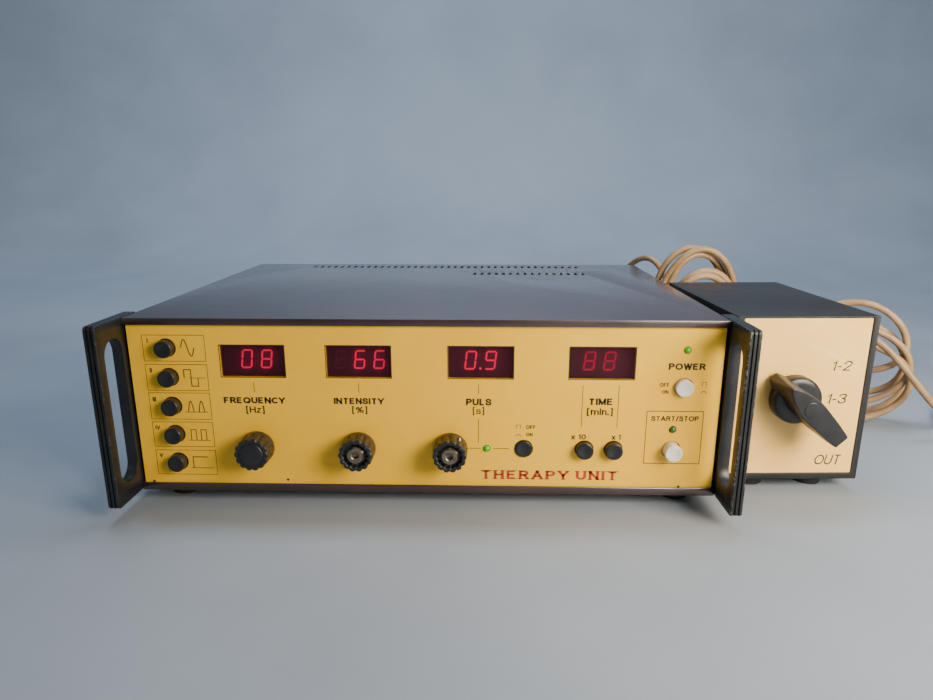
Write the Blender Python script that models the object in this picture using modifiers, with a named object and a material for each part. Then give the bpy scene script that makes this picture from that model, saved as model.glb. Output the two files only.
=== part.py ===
"""A bench physiotherapy generator: a console with handles, and its output selector box beside it.

The console frame has +X to the right of the front panel, +Y to the back and +Z up, with z = 0 on the table.
Its origin is below the middle of the front panel's face. The selector frame is the same for the small box,
turned a little about Z. Sizes here are in millimetres and become metres in the helpers.
"""

import math

import bmesh
import bpy
from mathutils import Matrix, Vector

MM = 0.001
GAP = 0.3  # between pieces that touch on the real object

# Where the console frame stands, so that the world origin is under the middle of the object.
CONSOLE_AT = (-57.1, -151.45, 0.0)
# The selector frame in the console frame, and its turn about Z.
SELECTOR_AT = (284.1, 31.3, 0.0)
SELECTOR_TURN = math.radians(2.1)

# Console case: a standard 19-inch, 3-unit instrument case.
CASE_HALF = 214.4
CASE_LOW, CASE_TOP = 10.2, 143.2
COVER_FRONT, COVER_REAR = -2.0, 306.4
SHEET = 1.5
TOP_LIP, BOTTOM_LIP = 5.0, 6.3
PANEL_HALF, PANEL_THICK = 212.6, 2.5
PANEL_LOW, PANEL_TOP = 15.0, 139.7
REAR_FACE = 304.6

# Vent slots in the top cover.
VENT_PITCH, VENT_WIDTH, VENT_LENGTH = 7.45, 3.0, 15.0
VENT_ROWS = ((283.0, 40), (230.0, 16))  # the row's middle along Y, and its number of slots
VENT_LAST = 145.3

# Handle plates on the case sides.
HANDLE_IN, HANDLE_OUT = 214.7, 222.9
HANDLE_FRONT, HANDLE_BACK = -34.7, 21.1
HANDLE_LOW, HANDLE_TOP = 10.8, 143.9
SLOT_FRONT, SLOT_BACK = -26.5, -3.5
SLOT_LOW, SLOT_TOP = 24.4, 131.0
GROOVE = 1.2

FOOT_RADIUS, FOOT_HEIGHT = 12.3, 9.9
FOOT_X, FOOT_Y = 191.5, (23.3, 283.0)

# Front panel layout.
ROW_Z = 45.9
WINDOW_X = (-123.5, -46.9, 40.9, 127.4)
WINDOW_Z, WINDOW_WIDE, WINDOW_HIGH = 111.5, 46.5, 23.5
DIGITS = (2, 3, 2, 2)
DIGIT_PITCH = 14.2
KNOB_X = (-124.2, -48.9, 18.9)
KNOB_RADIUS, KNOB_FRONT, KNOB_LOBES = 12.6, 17.0, 14
SHAFT_RADIUS = 3.0
MODE_X, MODE_LOW, MODE_PITCH = -185.1, 33.3, 21.95
HOLE_RADIUS, CAP_RADIUS = 7.0, 6.35
# Each button: name, x, z and how far its cap stands out at rest.
BUTTONS = [(f"mode_button_{i + 1}", MODE_X, MODE_LOW + (4 - i) * MODE_PITCH, 6.6) for i in range(5)]
BUTTONS += [
    ("pulse_button", 72.8, ROW_Z, 1.5),
    ("time_tens_button", 117.2, ROW_Z, 5.5),
    ("time_units_button", 138.5, ROW_Z, 5.5),
    ("power_button", 186.1, 94.2, 4.0),
    ("start_button", 180.8, ROW_Z, 8.0),
]
PLUNGER_RADIUS, PLUNGER_END = 2.0, 16.0
SWITCH_FACE, SWITCH_BACK = 9.0, 34.0
LAMPS = (("pulse_lamp", 45.6, ROW_Z), ("power_lamp", 186.7, 121.7), ("start_lamp", 180.7, 62.0))
LAMP_RADIUS = 2.5

# Rear panel fittings.
MAINS_EXIT, LINK_EXIT, FUSE_AT = (120.0, 40.0), (190.0, 60.0), (85.0, 40.0)
RELIEF_LENGTH = 33.0
CORD_RADIUS = 3.25

# Selector box.
BOX_HALF, BOX_DEEP = 53.0, 166.0
BOX_LOW, BOX_TOP = 9.4, 140.2
FACE_HALF, FACE_LOW, FACE_TOP, FACE_THICK = 48.0, 14.6, 138.6, 2.0
AXIS_X, AXIS_Z = -5.9, 77.4
HANDLE_TURN = math.radians(-45)
SKIRT_RADIUS, LEVER_TOP = 18.4, 31.0
BOX_FOOT_RADIUS, BOX_FOOT_X, BOX_FOOT_Y = 11.7, 24.0, (19.0, 147.0)
BOX_EXIT = (40.0, 42.0)

# Hanks and coil: the outer shapes of the wound lengths of lead, in the console frame.
LINK_HANK = {"at": (263.8, 241.5), "wide": 90.0, "high": 171.0, "thick": 40.0, "turn": 2.1, "lean": 8.0}
MAINS_HANK = {"at": (418.0, 195.0), "wide": 146.0, "high": 132.0, "thick": 38.0, "turn": -21.0, "lean": 4.0}
COIL_AT, COIL_IN, COIL_OUT, COIL_HIGH = (572.0, 190.0), 29.0, 42.5, 14.8
PLUG_AT, PLUG_RADIUS = (530.0, 70.0), 18.5

# Routes of the leads where they aren't wound, one point a line.
MAINS_ROUTE = [
    (120.0, 338.8, 40.0),
    (120.0, 347.0, 39.7),
    (120.8, 357.0, 37.0),
    (124.5, 366.5, 29.5),
    (133.0, 374.0, 19.0),
    (146.0, 378.5, 10.0),
    (165.0, 380.0, 5.0),
    (195.0, 378.0, 3.5),
    (250.0, 366.0, 3.5),
    (300.0, 346.0, 3.5),
    (334.0, 320.0, 3.5),
    (354.0, 294.0, 4.0),
    (366.0, 270.0, 7.0),
]
STRAND_ROUTE = [
    (443.0, 141.0, 58.0),
    (460.0, 139.0, 37.0),
    (477.0, 142.0, 23.0),
    (491.0, 154.0, 12.5),
    (501.0, 172.0, 6.0),
    (508.0, 191.0, 3.8),
    (517.0, 203.4, 3.6),
    (530.4, 206.2, 3.6),
]
PLUG_ROUTE = [
    (552.3, 151.2, 6.0),
    (544.0, 140.0, 9.0),
    (532.0, 126.0, 16.6),
    (530.0, 110.6, 18.6),
]
LINK_ROUTE = [
    (190.0, 338.9, 60.0),
    (190.0, 347.0, 60.4),
    (191.2, 357.0, 65.0),
    (194.2, 364.5, 75.0),
    (198.0, 366.5, 89.0),
    (202.0, 361.0, 105.0),
    (207.0, 350.0, 121.0),
    (214.0, 336.0, 136.0),
    (222.0, 322.0, 147.5),
    (230.0, 309.5, 152.5),
    (238.0, 298.5, 148.5),
    (246.5, 290.0, 134.0),
    (256.0, 284.0, 112.0),
]
BOX_ROUTE = [
    (316.8, 232.8, 42.0),
    (317.0, 251.0, 45.5),
    (317.0, 269.0, 51.5),
    (317.0, 289.0, 52.5),
    (317.0, 306.0, 43.5),
    (316.0, 312.5, 27.0),
    (314.0, 306.0, 11.0),
    (310.0, 294.0, 8.0),
    (304.0, 284.0, 16.0),
]

TO_FRONT = Matrix.Rotation(math.pi / 2, 4, "X")  # local Z faces the front, local Y stays up
TO_BACK = Matrix.Rotation(-math.pi / 2, 4, "X")
TO_SIDE = Matrix(((0, 0, 1, 0), (1, 0, 0, 0), (0, 1, 0, 0), (0, 0, 0, 1)))  # local X to depth, Y up

COLOURS = {
    # name: sRGB colour, roughness, metallic
    "brown_enamel": ("3A2422", 0.35, 0.0),
    "gold_panel": ("D9B45C", 0.35, 0.3),
    "cream_panel": ("F0D7A4", 0.45, 0.0),
    "plated_steel": ("A9ABA9", 0.4, 1.0),
    "black_paint": ("1C2024", 0.4, 0.0),
    "charcoal_paint": ("33363A", 0.6, 0.0),
    "black_plastic": ("1E2126", 0.4, 0.0),
    "white_plastic": ("E9E4DC", 0.4, 0.0),
    "black_rubber": ("1A1A1B", 0.8, 0.0),
    "display_red": ("2A1018", 0.15, 0.0),
    "circuit_board": ("2F5A38", 0.5, 0.0),
    "laminated_steel": ("5A5E62", 0.5, 0.8),
    "green_lamp": ("3FA81E", 0.2, 0.0),
    "beige_pvc": ("C9B299", 0.5, 0.0),
}


def linear(channel):
    """One sRGB channel, 0 to 1, as linear light."""
    return channel / 12.92 if channel <= 0.04045 else ((channel + 0.055) / 1.055) ** 2.4


def material(name):
    """The Principled material of that name, made once."""
    found = bpy.data.materials.get(name)
    if found:
        return found
    code, roughness, metallic = COLOURS[name]
    rgb = [linear(int(code[i : i + 2], 16) / 255) for i in (0, 2, 4)]
    made = bpy.data.materials.new(name)
    made.use_nodes = True
    shader = made.node_tree.nodes["Principled BSDF"]
    shader.inputs["Base Color"].default_value = (*rgb, 1.0)
    shader.inputs["Roughness"].default_value = roughness
    shader.inputs["Metallic"].default_value = metallic
    return made


def collection(name):
    made = bpy.data.collections.new(name)
    bpy.context.scene.collection.children.link(made)
    return made


def empty(name, at, turn=0.0, parent=None):
    """A named frame for parts to be placed in."""
    made = bpy.data.objects.new(name, None)
    OBJECT.objects.link(made)
    made.parent = parent
    made.location = Vector(at) * MM
    made.rotation_euler = (0.0, 0.0, turn)
    return made


def add_object(name, mesh, finish, frame, at=(0, 0, 0), facing=None):
    """A part when finish names a material, and otherwise a hidden tool for a Boolean."""
    made = bpy.data.objects.new(name, mesh)
    (OBJECT if finish else TOOLS).objects.link(made)
    made.parent = frame
    made.matrix_local = Matrix.Translation(Vector(at) * MM) @ (facing or Matrix.Identity(4))
    if finish:
        mesh.materials.append(material(finish))
    else:
        made.hide_render = True
        made.display_type = "WIRE"
    return made


def add_block(bm, low, high):
    """A box between two corners."""
    sides = [(h - l) * MM for l, h in zip(low, high)]
    middle = Vector([(h + l) / 2 * MM for l, h in zip(low, high)])
    place = Matrix.Translation(middle) @ Matrix.Diagonal((*sides, 1.0))
    bmesh.ops.create_cube(bm, size=1.0, matrix=place)


def add_rod(bm, x, z, radius, front, back, sides=16):
    """A cylinder along Y, from the front y to the back y."""
    place = Matrix.Translation(Vector((x, (front + back) / 2, z)) * MM) @ TO_BACK
    bmesh.ops.create_cone(
        bm, cap_ends=True, segments=sides, radius1=radius * MM, radius2=radius * MM,
        depth=(back - front) * MM, matrix=place,
    )


def blocks(name, corners, finish, frame, rods=()):
    """One object of boxes and of rods along Y that stay clear of each other."""
    bm = bmesh.new()
    for low, high in corners:
        add_block(bm, low, high)
    for rod in rods:
        add_rod(bm, *rod)
    mesh = bpy.data.meshes.new(name)
    bm.to_mesh(mesh)
    bm.free()
    return add_object(name, mesh, finish, frame)


def boolean(part, tool, operation="DIFFERENCE"):
    made = part.modifiers.new(tool.name, "BOOLEAN")
    made.operation = operation
    made.object = tool
    return part


def turned(name, profile, finish, frame, at, facing=None, sides=16, closed=False):
    """A profile of (radius, height) pairs, from the top down, turned about the local Z axis."""
    mesh = bpy.data.meshes.new(name)
    points = [(radius * MM, 0.0, height * MM) for radius, height in profile]
    count = len(points)
    edges = [(i, (i + 1) % count) for i in range(count if closed else count - 1)]
    mesh.from_pydata(points, edges, [])
    made = add_object(name, mesh, finish, frame, at, facing)
    screw = made.modifiers.new("turn", "SCREW")
    screw.steps = screw.render_steps = sides
    screw.use_merge_vertices = True
    screw.merge_threshold = 0.00001
    screw.use_smooth_shade = True
    return made


def plate(name, outlines, low, high, finish, frame, at=(0, 0, 0), facing=None):
    """Closed outlines in the local XY plane, filled and given the thickness from low to high along Z."""
    curve = bpy.data.curves.new(name, "CURVE")
    curve.dimensions = "2D"
    curve.fill_mode = "BOTH"
    curve.extrude = (high - low) / 2 * MM
    for outline in outlines:
        spline = curve.splines.new("POLY")
        spline.points.add(len(outline) - 1)
        for point, (x, y) in zip(spline.points, outline):
            point.co = (x * MM, y * MM, 0.0, 1.0)
        spline.use_cyclic_u = True
    guide = bpy.data.objects.new(name + "_outline", curve)
    TOOLS.objects.link(guide)
    bpy.context.view_layer.update()
    ready = guide.evaluated_get(bpy.context.evaluated_depsgraph_get())
    mesh = bpy.data.meshes.new_from_object(ready)
    bpy.data.objects.remove(guide)
    mesh.name = name
    mesh.materials.clear()
    bm = bmesh.new()
    bm.from_mesh(mesh)
    bmesh.ops.remove_doubles(bm, verts=bm.verts, dist=0.000001)
    bmesh.ops.translate(bm, verts=bm.verts, vec=(0, 0, (low + high) / 2 * MM))
    bm.to_mesh(mesh)
    bm.free()
    return add_object(name, mesh, finish, frame, at, facing)


def round_rectangle(low_x, low_y, high_x, high_y, radius, steps):
    """The points of a rectangle with arcs at its corners, anticlockwise."""
    points = []
    centres = ((high_x, high_y, 0), (low_x, high_y, 1), (low_x, low_y, 2), (high_x, low_y, 3))
    for x, y, quarter in centres:
        inward = (-1 if x == high_x else 1, -1 if y == high_y else 1)
        for step in range(steps + 1):
            angle = (quarter + step / steps) * math.pi / 2
            points.append(
                (x + radius * (inward[0] + math.cos(angle)), y + radius * (inward[1] + math.sin(angle)))
            )
    return points


def smooth_route(points, spacing):
    """Points about a spacing apart on a smooth curve (Catmull-Rom) through the route's own points."""
    route = [Vector(p) for p in points]
    route = [2 * route[0] - route[1], *route, 2 * route[-1] - route[-2]]
    found = []
    for a, b, c, d in zip(route, route[1:], route[2:], route[3:]):
        count = max(1, round((c - b).length / spacing))
        for step in range(count):
            t = step / count
            found.append(
                0.5 * ((2 * b) + (c - a) * t + (2 * a - 5 * b + 4 * c - d) * t**2 + (3 * b - a - 3 * c + d) * t**3)
            )
    return [*found, route[-2]]


def lead(name, points):
    """A round lead along a route, with filled ends."""
    curve = bpy.data.curves.new(name, "CURVE")
    curve.dimensions = "3D"
    curve.bevel_depth = CORD_RADIUS * MM
    curve.bevel_resolution = 2
    curve.use_fill_caps = True
    spline = curve.splines.new("POLY")
    route = smooth_route(points, 17.0)
    spline.points.add(len(route) - 1)
    for point, place in zip(spline.points, route):
        point.co = (*(place * MM), 1.0)
    curve.materials.append(material("beige_pvc"))
    made = bpy.data.objects.new(name, curve)
    OBJECT.objects.link(made)
    made.parent = CONSOLE
    return made


def hank_frame(size):
    """Where a hank's own frame stands: X along it, Y up it and Z to its front face."""
    stand = Matrix.Rotation(math.radians(size["turn"]), 4, "Z")
    lean = Matrix.Rotation(math.radians(size["lean"]), 4, "X")
    lift = size["thick"] / 2 * math.sin(math.radians(size["lean"])) + GAP
    return (*size["at"], lift), stand @ lean @ TO_FRONT


def hank(name, size):
    """The outer shape of an upright hank: a slab with round corners, turned and leaning to the front."""
    half, thick = size["wide"] / 2, size["thick"] / 2
    outline = round_rectangle(-half, 0.0, half, size["high"], half * 0.8, 5)
    at, facing = hank_frame(size)
    return plate(name, [outline], -thick, thick, "beige_pvc", CONSOLE, at, facing)


def beside_hank(size, along, up, out):
    """A point that far out from a hank's front face, or from its rear face when out is negative."""
    at, facing = hank_frame(size)
    depth = math.copysign(size["thick"] / 2 + abs(out), out)
    return tuple(Vector(at) + (facing @ Vector((along, up, depth, 1.0))).to_3d())


def make_covers():
    """Shallow trays of sheet steel, one above and one below, whose lips frame the front and rear panels."""
    top = blocks(
        "top_cover",
        [((-CASE_HALF, COVER_FRONT, CASE_TOP - TOP_LIP), (CASE_HALF, COVER_REAR, CASE_TOP))],
        "brown_enamel",
        CONSOLE,
    )
    inner = CASE_HALF - SHEET
    hollow = blocks(
        "top_hollow",
        [((-inner, COVER_FRONT + SHEET, 100.0), (inner, COVER_REAR - SHEET, CASE_TOP - SHEET))],
        None,
        CONSOLE,
    )
    slots = []
    for middle, count in VENT_ROWS:
        for i in range(count):
            x = VENT_LAST - i * VENT_PITCH
            low = (x - VENT_WIDTH / 2, middle - VENT_LENGTH / 2, CASE_TOP - 4)
            high = (x + VENT_WIDTH / 2, middle + VENT_LENGTH / 2, CASE_TOP + 4)
            slots.append((low, high))
    boolean(top, hollow)
    boolean(top, blocks("vent_slots", slots, None, CONSOLE))
    bottom = blocks(
        "bottom_cover",
        [((-CASE_HALF, COVER_FRONT, CASE_LOW), (CASE_HALF, COVER_REAR, CASE_LOW + BOTTOM_LIP))],
        "brown_enamel",
        CONSOLE,
    )
    tray = blocks(
        "bottom_hollow",
        [((-inner, COVER_FRONT + SHEET, CASE_LOW + SHEET), (inner, COVER_REAR - SHEET, 60.0))],
        None,
        CONSOLE,
    )
    boolean(bottom, tray)


def make_sides():
    """Side frames between the lips of the covers."""
    low, high = CASE_LOW + BOTTOM_LIP + GAP, CASE_TOP - TOP_LIP - GAP
    for name, x in (("left_side_frame", -CASE_HALF), ("right_side_frame", CASE_HALF - 3.0)):
        corners = [((x, PANEL_THICK + GAP, low), (x + 3.0, 302.1, high))]
        blocks(name, corners, "plated_steel", CONSOLE)


def make_front_panel():
    """The panel with its display windows, button holes, shaft holes and lamp holes."""
    panel = blocks(
        "front_panel",
        [((-PANEL_HALF, 0.0, PANEL_LOW), (PANEL_HALF, PANEL_THICK, PANEL_TOP))],
        "gold_panel",
        CONSOLE,
    )
    half_wide, half_high = WINDOW_WIDE / 2, WINDOW_HIGH / 2
    windows = [
        ((x - half_wide, -5.0, WINDOW_Z - half_high), (x + half_wide, 10.0, WINDOW_Z + half_high))
        for x in WINDOW_X
    ]
    holes = [(x, z, HOLE_RADIUS, -5.0, 10.0, 16) for _, x, z, _ in BUTTONS]
    holes += [(x, ROW_Z, 5.0, -5.0, 10.0, 12) for x in KNOB_X]
    holes += [(x, z, LAMP_RADIUS + GAP, -5.0, 10.0, 12) for _, x, z in LAMPS]
    boolean(panel, blocks("panel_openings", windows, None, CONSOLE, holes))


def make_rear_panel():
    panel = blocks(
        "rear_panel",
        [((-PANEL_HALF, REAR_FACE - 2.0, PANEL_LOW), (PANEL_HALF, REAR_FACE, PANEL_TOP))],
        "plated_steel",
        CONSOLE,
    )
    holes = [(x, z, 5.6, 290.0, 320.0, 12) for x, z in (MAINS_EXIT, LINK_EXIT, FUSE_AT)]
    boolean(panel, blocks("rear_holes", [], None, CONSOLE, holes))


def make_handles():
    """Flat plates that stand proud of the panel, with a finger slot and two grooves along the front edge."""
    outer = round_rectangle(HANDLE_FRONT, HANDLE_LOW, HANDLE_BACK, HANDLE_TOP, 3.0, 2)
    radius = (SLOT_BACK - SLOT_FRONT) / 2
    slot = round_rectangle(SLOT_FRONT, SLOT_LOW, SLOT_BACK, SLOT_TOP, radius, 5)
    for name, low, high in (
        ("left_handle", -HANDLE_OUT, -HANDLE_IN),
        ("right_handle", HANDLE_IN, HANDLE_OUT),
    ):
        handle = plate(name, [outer, slot], low, high, "black_paint", CONSOLE, (0, 0, 0), TO_SIDE)
        third = (high - low) / 3
        grooves = [
            (
                (low + third * k - GROOVE / 2, HANDLE_FRONT - 5, HANDLE_LOW - 5),
                (low + third * k + GROOVE / 2, HANDLE_FRONT + GROOVE, HANDLE_TOP + 5),
            )
            for k in (1, 2)
        ]
        boolean(handle, blocks(name + "_grooves", grooves, None, CONSOLE))


def make_feet(prefix, radius, height, places, frame):
    """Round rubber feet, a little narrower at the table."""
    profile = [(0, height), (radius, height), (radius - 1.2, 0.8), (radius - 2.2, 0), (0, 0)]
    for corner, (x, y) in zip(("front_left", "front_right", "rear_left", "rear_right"), places):
        turned(f"{prefix}_foot_{corner}", profile, "black_rubber", frame, (x, y, 0), sides=14)


def make_displays():
    """A dark red window in each opening, and one board that carries the digit blocks behind them."""
    for i, x in enumerate(WINDOW_X):
        low = (x - WINDOW_WIDE / 2 + GAP, 0.4, WINDOW_Z - WINDOW_HIGH / 2 + GAP)
        high = (x + WINDOW_WIDE / 2 - GAP, 2.9, WINDOW_Z + WINDOW_HIGH / 2 - GAP)
        blocks(f"display_window_{i + 1}", [(low, high)], "display_red", CONSOLE)
    board = blocks("display_board", [((-152, 15.0, 96.0), (156, 16.6, 127.0))], "circuit_board", CONSOLE)
    digits = []
    for x, count in zip(WINDOW_X, DIGITS):
        half = count * DIGIT_PITCH / 2
        digits.append(((x - half, 7.0, WINDOW_Z - 9.5), (x + half, 15.2, WINDOW_Z + 9.5)))
    boolean(board, blocks("digit_blocks", digits, None, CONSOLE), "UNION")


def make_buttons():
    """Round caps with a plunger that runs in the switch behind."""
    for name, x, z, out in BUTTONS:
        edge = 1.0
        profile = [
            (0, out),
            (CAP_RADIUS - edge, out),
            (CAP_RADIUS, out - edge),
            (CAP_RADIUS, -3.5),
            (PLUNGER_RADIUS, -3.5),
            (PLUNGER_RADIUS, -PLUNGER_END),
            (0, -PLUNGER_END),
        ]
        finish = "white_plastic" if name in ("power_button", "start_button") else "black_plastic"
        turned(name, profile, finish, CONSOLE, (x, 0, z), TO_FRONT, sides=14)


def make_switches():
    """The switch bodies on their carriers, each with a bore for its plunger."""
    bore = PLUNGER_RADIUS + 0.6
    groups = {
        "mode_switch_bank": ((MODE_X - 9, 26.0, 24.0), (MODE_X + 9, 27.6, 131.0), range(5), 7.0),
        "button_board": ((62.0, 26.0, 36.0), (192.0, 27.6, 56.0), (5, 6, 7, 9), 7.0),
        "power_switch": ((178.0, 26.0, 86.0), (194.2, 27.6, 102.4), (8,), 7.6),
    }
    for name, (low, high, members, half) in groups.items():
        carrier = blocks(name, [(low, high)], "circuit_board" if name == "button_board" else "plated_steel", CONSOLE)
        bodies, bores = [], []
        for i in members:
            _, x, z, _ = BUTTONS[i]
            bodies.append(((x - half, SWITCH_FACE, z - half), (x + half, 26.2, z + half)))
            bores.append((x, z, bore, 0.0, 24.0, 10))
        boolean(carrier, blocks(name + "_bodies", bodies, None, CONSOLE), "UNION")
        boolean(carrier, blocks(name + "_bores", [], None, CONSOLE, bores))


def make_potentiometers():
    """Three potentiometers on one bracket behind the panel."""
    low, high = (KNOB_X[0] - 14, 9.0, ROW_Z - 12), (KNOB_X[2] + 14, 10.6, ROW_Z + 12)
    bracket = blocks("potentiometer_bracket", [(low, high)], "plated_steel", CONSOLE)
    cans = [(x, ROW_Z, 9.0, 10.4, 22.0, 14) for x in KNOB_X]
    bushes = [(x, ROW_Z, 4.5, 0.2, 9.2, 12) for x in KNOB_X]
    bores = [(x, ROW_Z, SHAFT_RADIUS + 0.4, -2.0, 18.0, 12) for x in KNOB_X]
    boolean(bracket, blocks("potentiometer_cans", [], None, CONSOLE, cans), "UNION")
    boolean(bracket, blocks("potentiometer_bushes", [], None, CONSOLE, bushes), "UNION")
    boolean(bracket, blocks("potentiometer_bores", [], None, CONSOLE, bores))


def make_knobs():
    """Scalloped collet knobs with their shafts. The first keeps its cap, and the others show the collet nut."""
    steps = 4 * KNOB_LOBES
    outline = []
    for i in range(steps):
        angle = 2 * math.pi * i / steps
        radius = KNOB_RADIUS - 0.35 + 0.35 * math.cos(KNOB_LOBES * angle)
        outline.append((radius * math.cos(angle), radius * math.sin(angle)))
    shaft = [(SHAFT_RADIUS, -0.5), (SHAFT_RADIUS, -16.0), (0, -16.0)]
    for i, x in enumerate(KNOB_X):
        at = (x, 0, ROW_Z)
        name = f"knob_{i + 1}"
        knob = plate(name, [outline], 1.0, KNOB_FRONT, "black_plastic", CONSOLE, at, TO_FRONT)
        if i == 0:
            core = [(0, KNOB_FRONT + 1.2), (8.4, KNOB_FRONT + 1.2), (9.0, KNOB_FRONT - 1), (9.0, 3.0)]
        else:
            core = [(0, KNOB_FRONT - 4), (2.6, KNOB_FRONT - 4), (2.6, KNOB_FRONT - 1), (6.4, KNOB_FRONT - 1)]
            core.append((6.4, 3.0))
            rim = (0, 0, ROW_Z)
            well = turned(
                name + "_well",
                [(0, KNOB_FRONT + 3), (7.3, KNOB_FRONT + 3), (7.3, KNOB_FRONT - 4.5), (0, KNOB_FRONT - 4.5)],
                None, CONSOLE, (x, *rim[1:]), TO_FRONT, sides=12,
            )
            boolean(knob, well)
        core += [(SHAFT_RADIUS, 3.0), *shaft]
        boolean(knob, turned(name + "_core", core, None, CONSOLE, at, TO_FRONT, sides=12), "UNION")


def make_lamps():
    """Round-nosed indicator lamps, pushed through the panel from behind."""
    for name, x, z in LAMPS:
        profile = [(0, 2.0), (1.3, 1.6), (2.2, 0.6), (LAMP_RADIUS, -0.6), (LAMP_RADIUS, -4.0)]
        profile += [(3.1, -4.0), (3.1, -5.2), (0, -5.2)]
        turned(name, profile, "green_lamp", CONSOLE, (x, 0, z), TO_FRONT, sides=12)


def make_insides():
    """The transformer, and the main board with its capacitors and heat sink."""
    core = blocks(
        "mains_transformer", [((104.0, 190.0, 12.0), (192.0, 222.0, 86.0))], "laminated_steel", CONSOLE
    )
    winding = [((122.0, 172.0, 28.0), (174.0, 240.0, 70.0))]
    boolean(core, blocks("windings", winding, None, CONSOLE), "UNION")
    board = blocks("main_board", [((-190.0, 130.0, 20.0), (70.0, 290.0, 21.6))], "circuit_board", CONSOLE)
    tall = [((-150.0, 262.0, 21.4), (20.0, 284.0, 74.0))]
    tall += [((x, 150.0, 21.4), (x + 22.0, 172.0, 56.0)) for x in (-170.0, -140.0, -110.0)]
    tall += [((x, 150.0, 12.0), (x + 6.0, 156.0, 20.2)) for x in (-60.0, 40.0)]
    tall += [((x, 240.0, 12.0), (x + 6.0, 246.0, 20.2)) for x in (-180.0, 40.0)]
    boolean(board, blocks("board_parts", tall, None, CONSOLE), "UNION")


def relief(name, x, y, z, frame, base=8.0):
    """A flange, a stub through the wall and a tapered strain relief, along +Y from the wall's face at y."""
    stub = [(5.2, GAP + 0.0), (5.2, -8.0), (0, -8.0)]
    profile = [(0, RELIEF_LENGTH), (4.4, RELIEF_LENGTH), (6.2, 6.0), (base, 6.0), (base, GAP), *stub]
    return turned(name, profile, "black_plastic", frame, (x, y, z), TO_BACK, sides=14)


def make_rear_fittings():
    x, z = MAINS_EXIT
    relief("mains_strain_relief", x, REAR_FACE, z, CONSOLE)
    x, z = LINK_EXIT
    relief("output_gland", x, REAR_FACE, z, CONSOLE)
    x, z = FUSE_AT
    profile = [(0, 12.0), (6.2, 12.0), (7.4, 10.5), (7.4, GAP), (5.2, GAP), (5.2, -22.0), (0, -22.0)]
    turned("fuse_holder", profile, "black_plastic", CONSOLE, (x, REAR_FACE, z), TO_BACK, sides=14)


def make_selector_case():
    """The small box: a housing open at the front, its cream panel and the cam switch behind it."""
    housing = blocks(
        "selector_housing",
        [((-BOX_HALF, -0.8, BOX_LOW), (BOX_HALF, BOX_DEEP, BOX_TOP))],
        "charcoal_paint",
        SELECTOR,
    )
    side = FACE_HALF + GAP
    hollow = blocks(
        "selector_hollow",
        [((-side, -5.0, FACE_LOW - GAP), (side, BOX_DEEP - 2.0, FACE_TOP + GAP))],
        None,
        SELECTOR,
        [],
    )
    boolean(housing, hollow)
    exit_x, exit_z = BOX_EXIT
    hole = blocks("selector_cord_hole", [], None, SELECTOR, [(exit_x, exit_z, 5.6, 150.0, 180.0, 12)])
    boolean(housing, hole)
    face = blocks(
        "selector_panel",
        [((-FACE_HALF, 0.0, FACE_LOW), (FACE_HALF, FACE_THICK, FACE_TOP))],
        "cream_panel",
        SELECTOR,
    )
    boolean(face, blocks("selector_hole", [], None, SELECTOR, [(AXIS_X, AXIS_Z, 6.0, -5, 5, 14)]))
    low = (AXIS_X - 22, FACE_THICK + GAP, AXIS_Z - 22)
    high = (AXIS_X + 22, 50.0, AXIS_Z + 22)
    switch = blocks("cam_switch", [(low, high)], "black_plastic", SELECTOR)
    boolean(switch, blocks("cam_bore", [], None, SELECTOR, [(AXIS_X, AXIS_Z, 4.6, -5, 34, 14)]))
    relief("selector_gland", exit_x, BOX_DEEP, exit_z, SELECTOR)


def make_selector_handle():
    """A round skirt with a lever across it: a blunt nose that overhangs, and a pinched, sloping tail."""
    at = (AXIS_X, 0.0, AXIS_Z)
    place = TO_FRONT @ Matrix.Rotation(HANDLE_TURN, 4, "Z")
    skirt = [
        (0, 12.4), (15.0, 12.0), (17.6, 10.6), (SKIRT_RADIUS, 8.5), (SKIRT_RADIUS, 0.6),
        (4.2, 0.6), (4.2, -32.0), (0, -32.0),
    ]
    handle = turned("selector_handle", skirt, "black_plastic", SELECTOR, at, place, sides=24)
    half_widths = ((-25, 2.0), (-16, 5.4), (-5, 8.3), (6, 8.6), (17, 7.8), (29, 6.7), (35.2, 5.8))
    outline = [(u, w) for u, w in reversed(half_widths)] + [(u, -w) for u, w in half_widths]
    lever = plate("lever", [outline], 4.0, LEVER_TOP, None, SELECTOR, at, place)
    boolean(handle, lever, "UNION")
    side_place = place @ Matrix.Rotation(math.pi / 2, 4, "X")
    slope = [(-40, 36), (-40, -2), (-25.2, 3), (-22.6, LEVER_TOP), (-22.6, 36)]
    boolean(handle, plate("tail_cut", [slope], -12, 12, None, SELECTOR, at, side_place))
    beak = [(21.0, 2), (40, 2), (40, 22), (34, 22), (21.0, 11)]
    boolean(handle, plate("nose_cut", [beak], -12, 12, None, SELECTOR, at, side_place))


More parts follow.
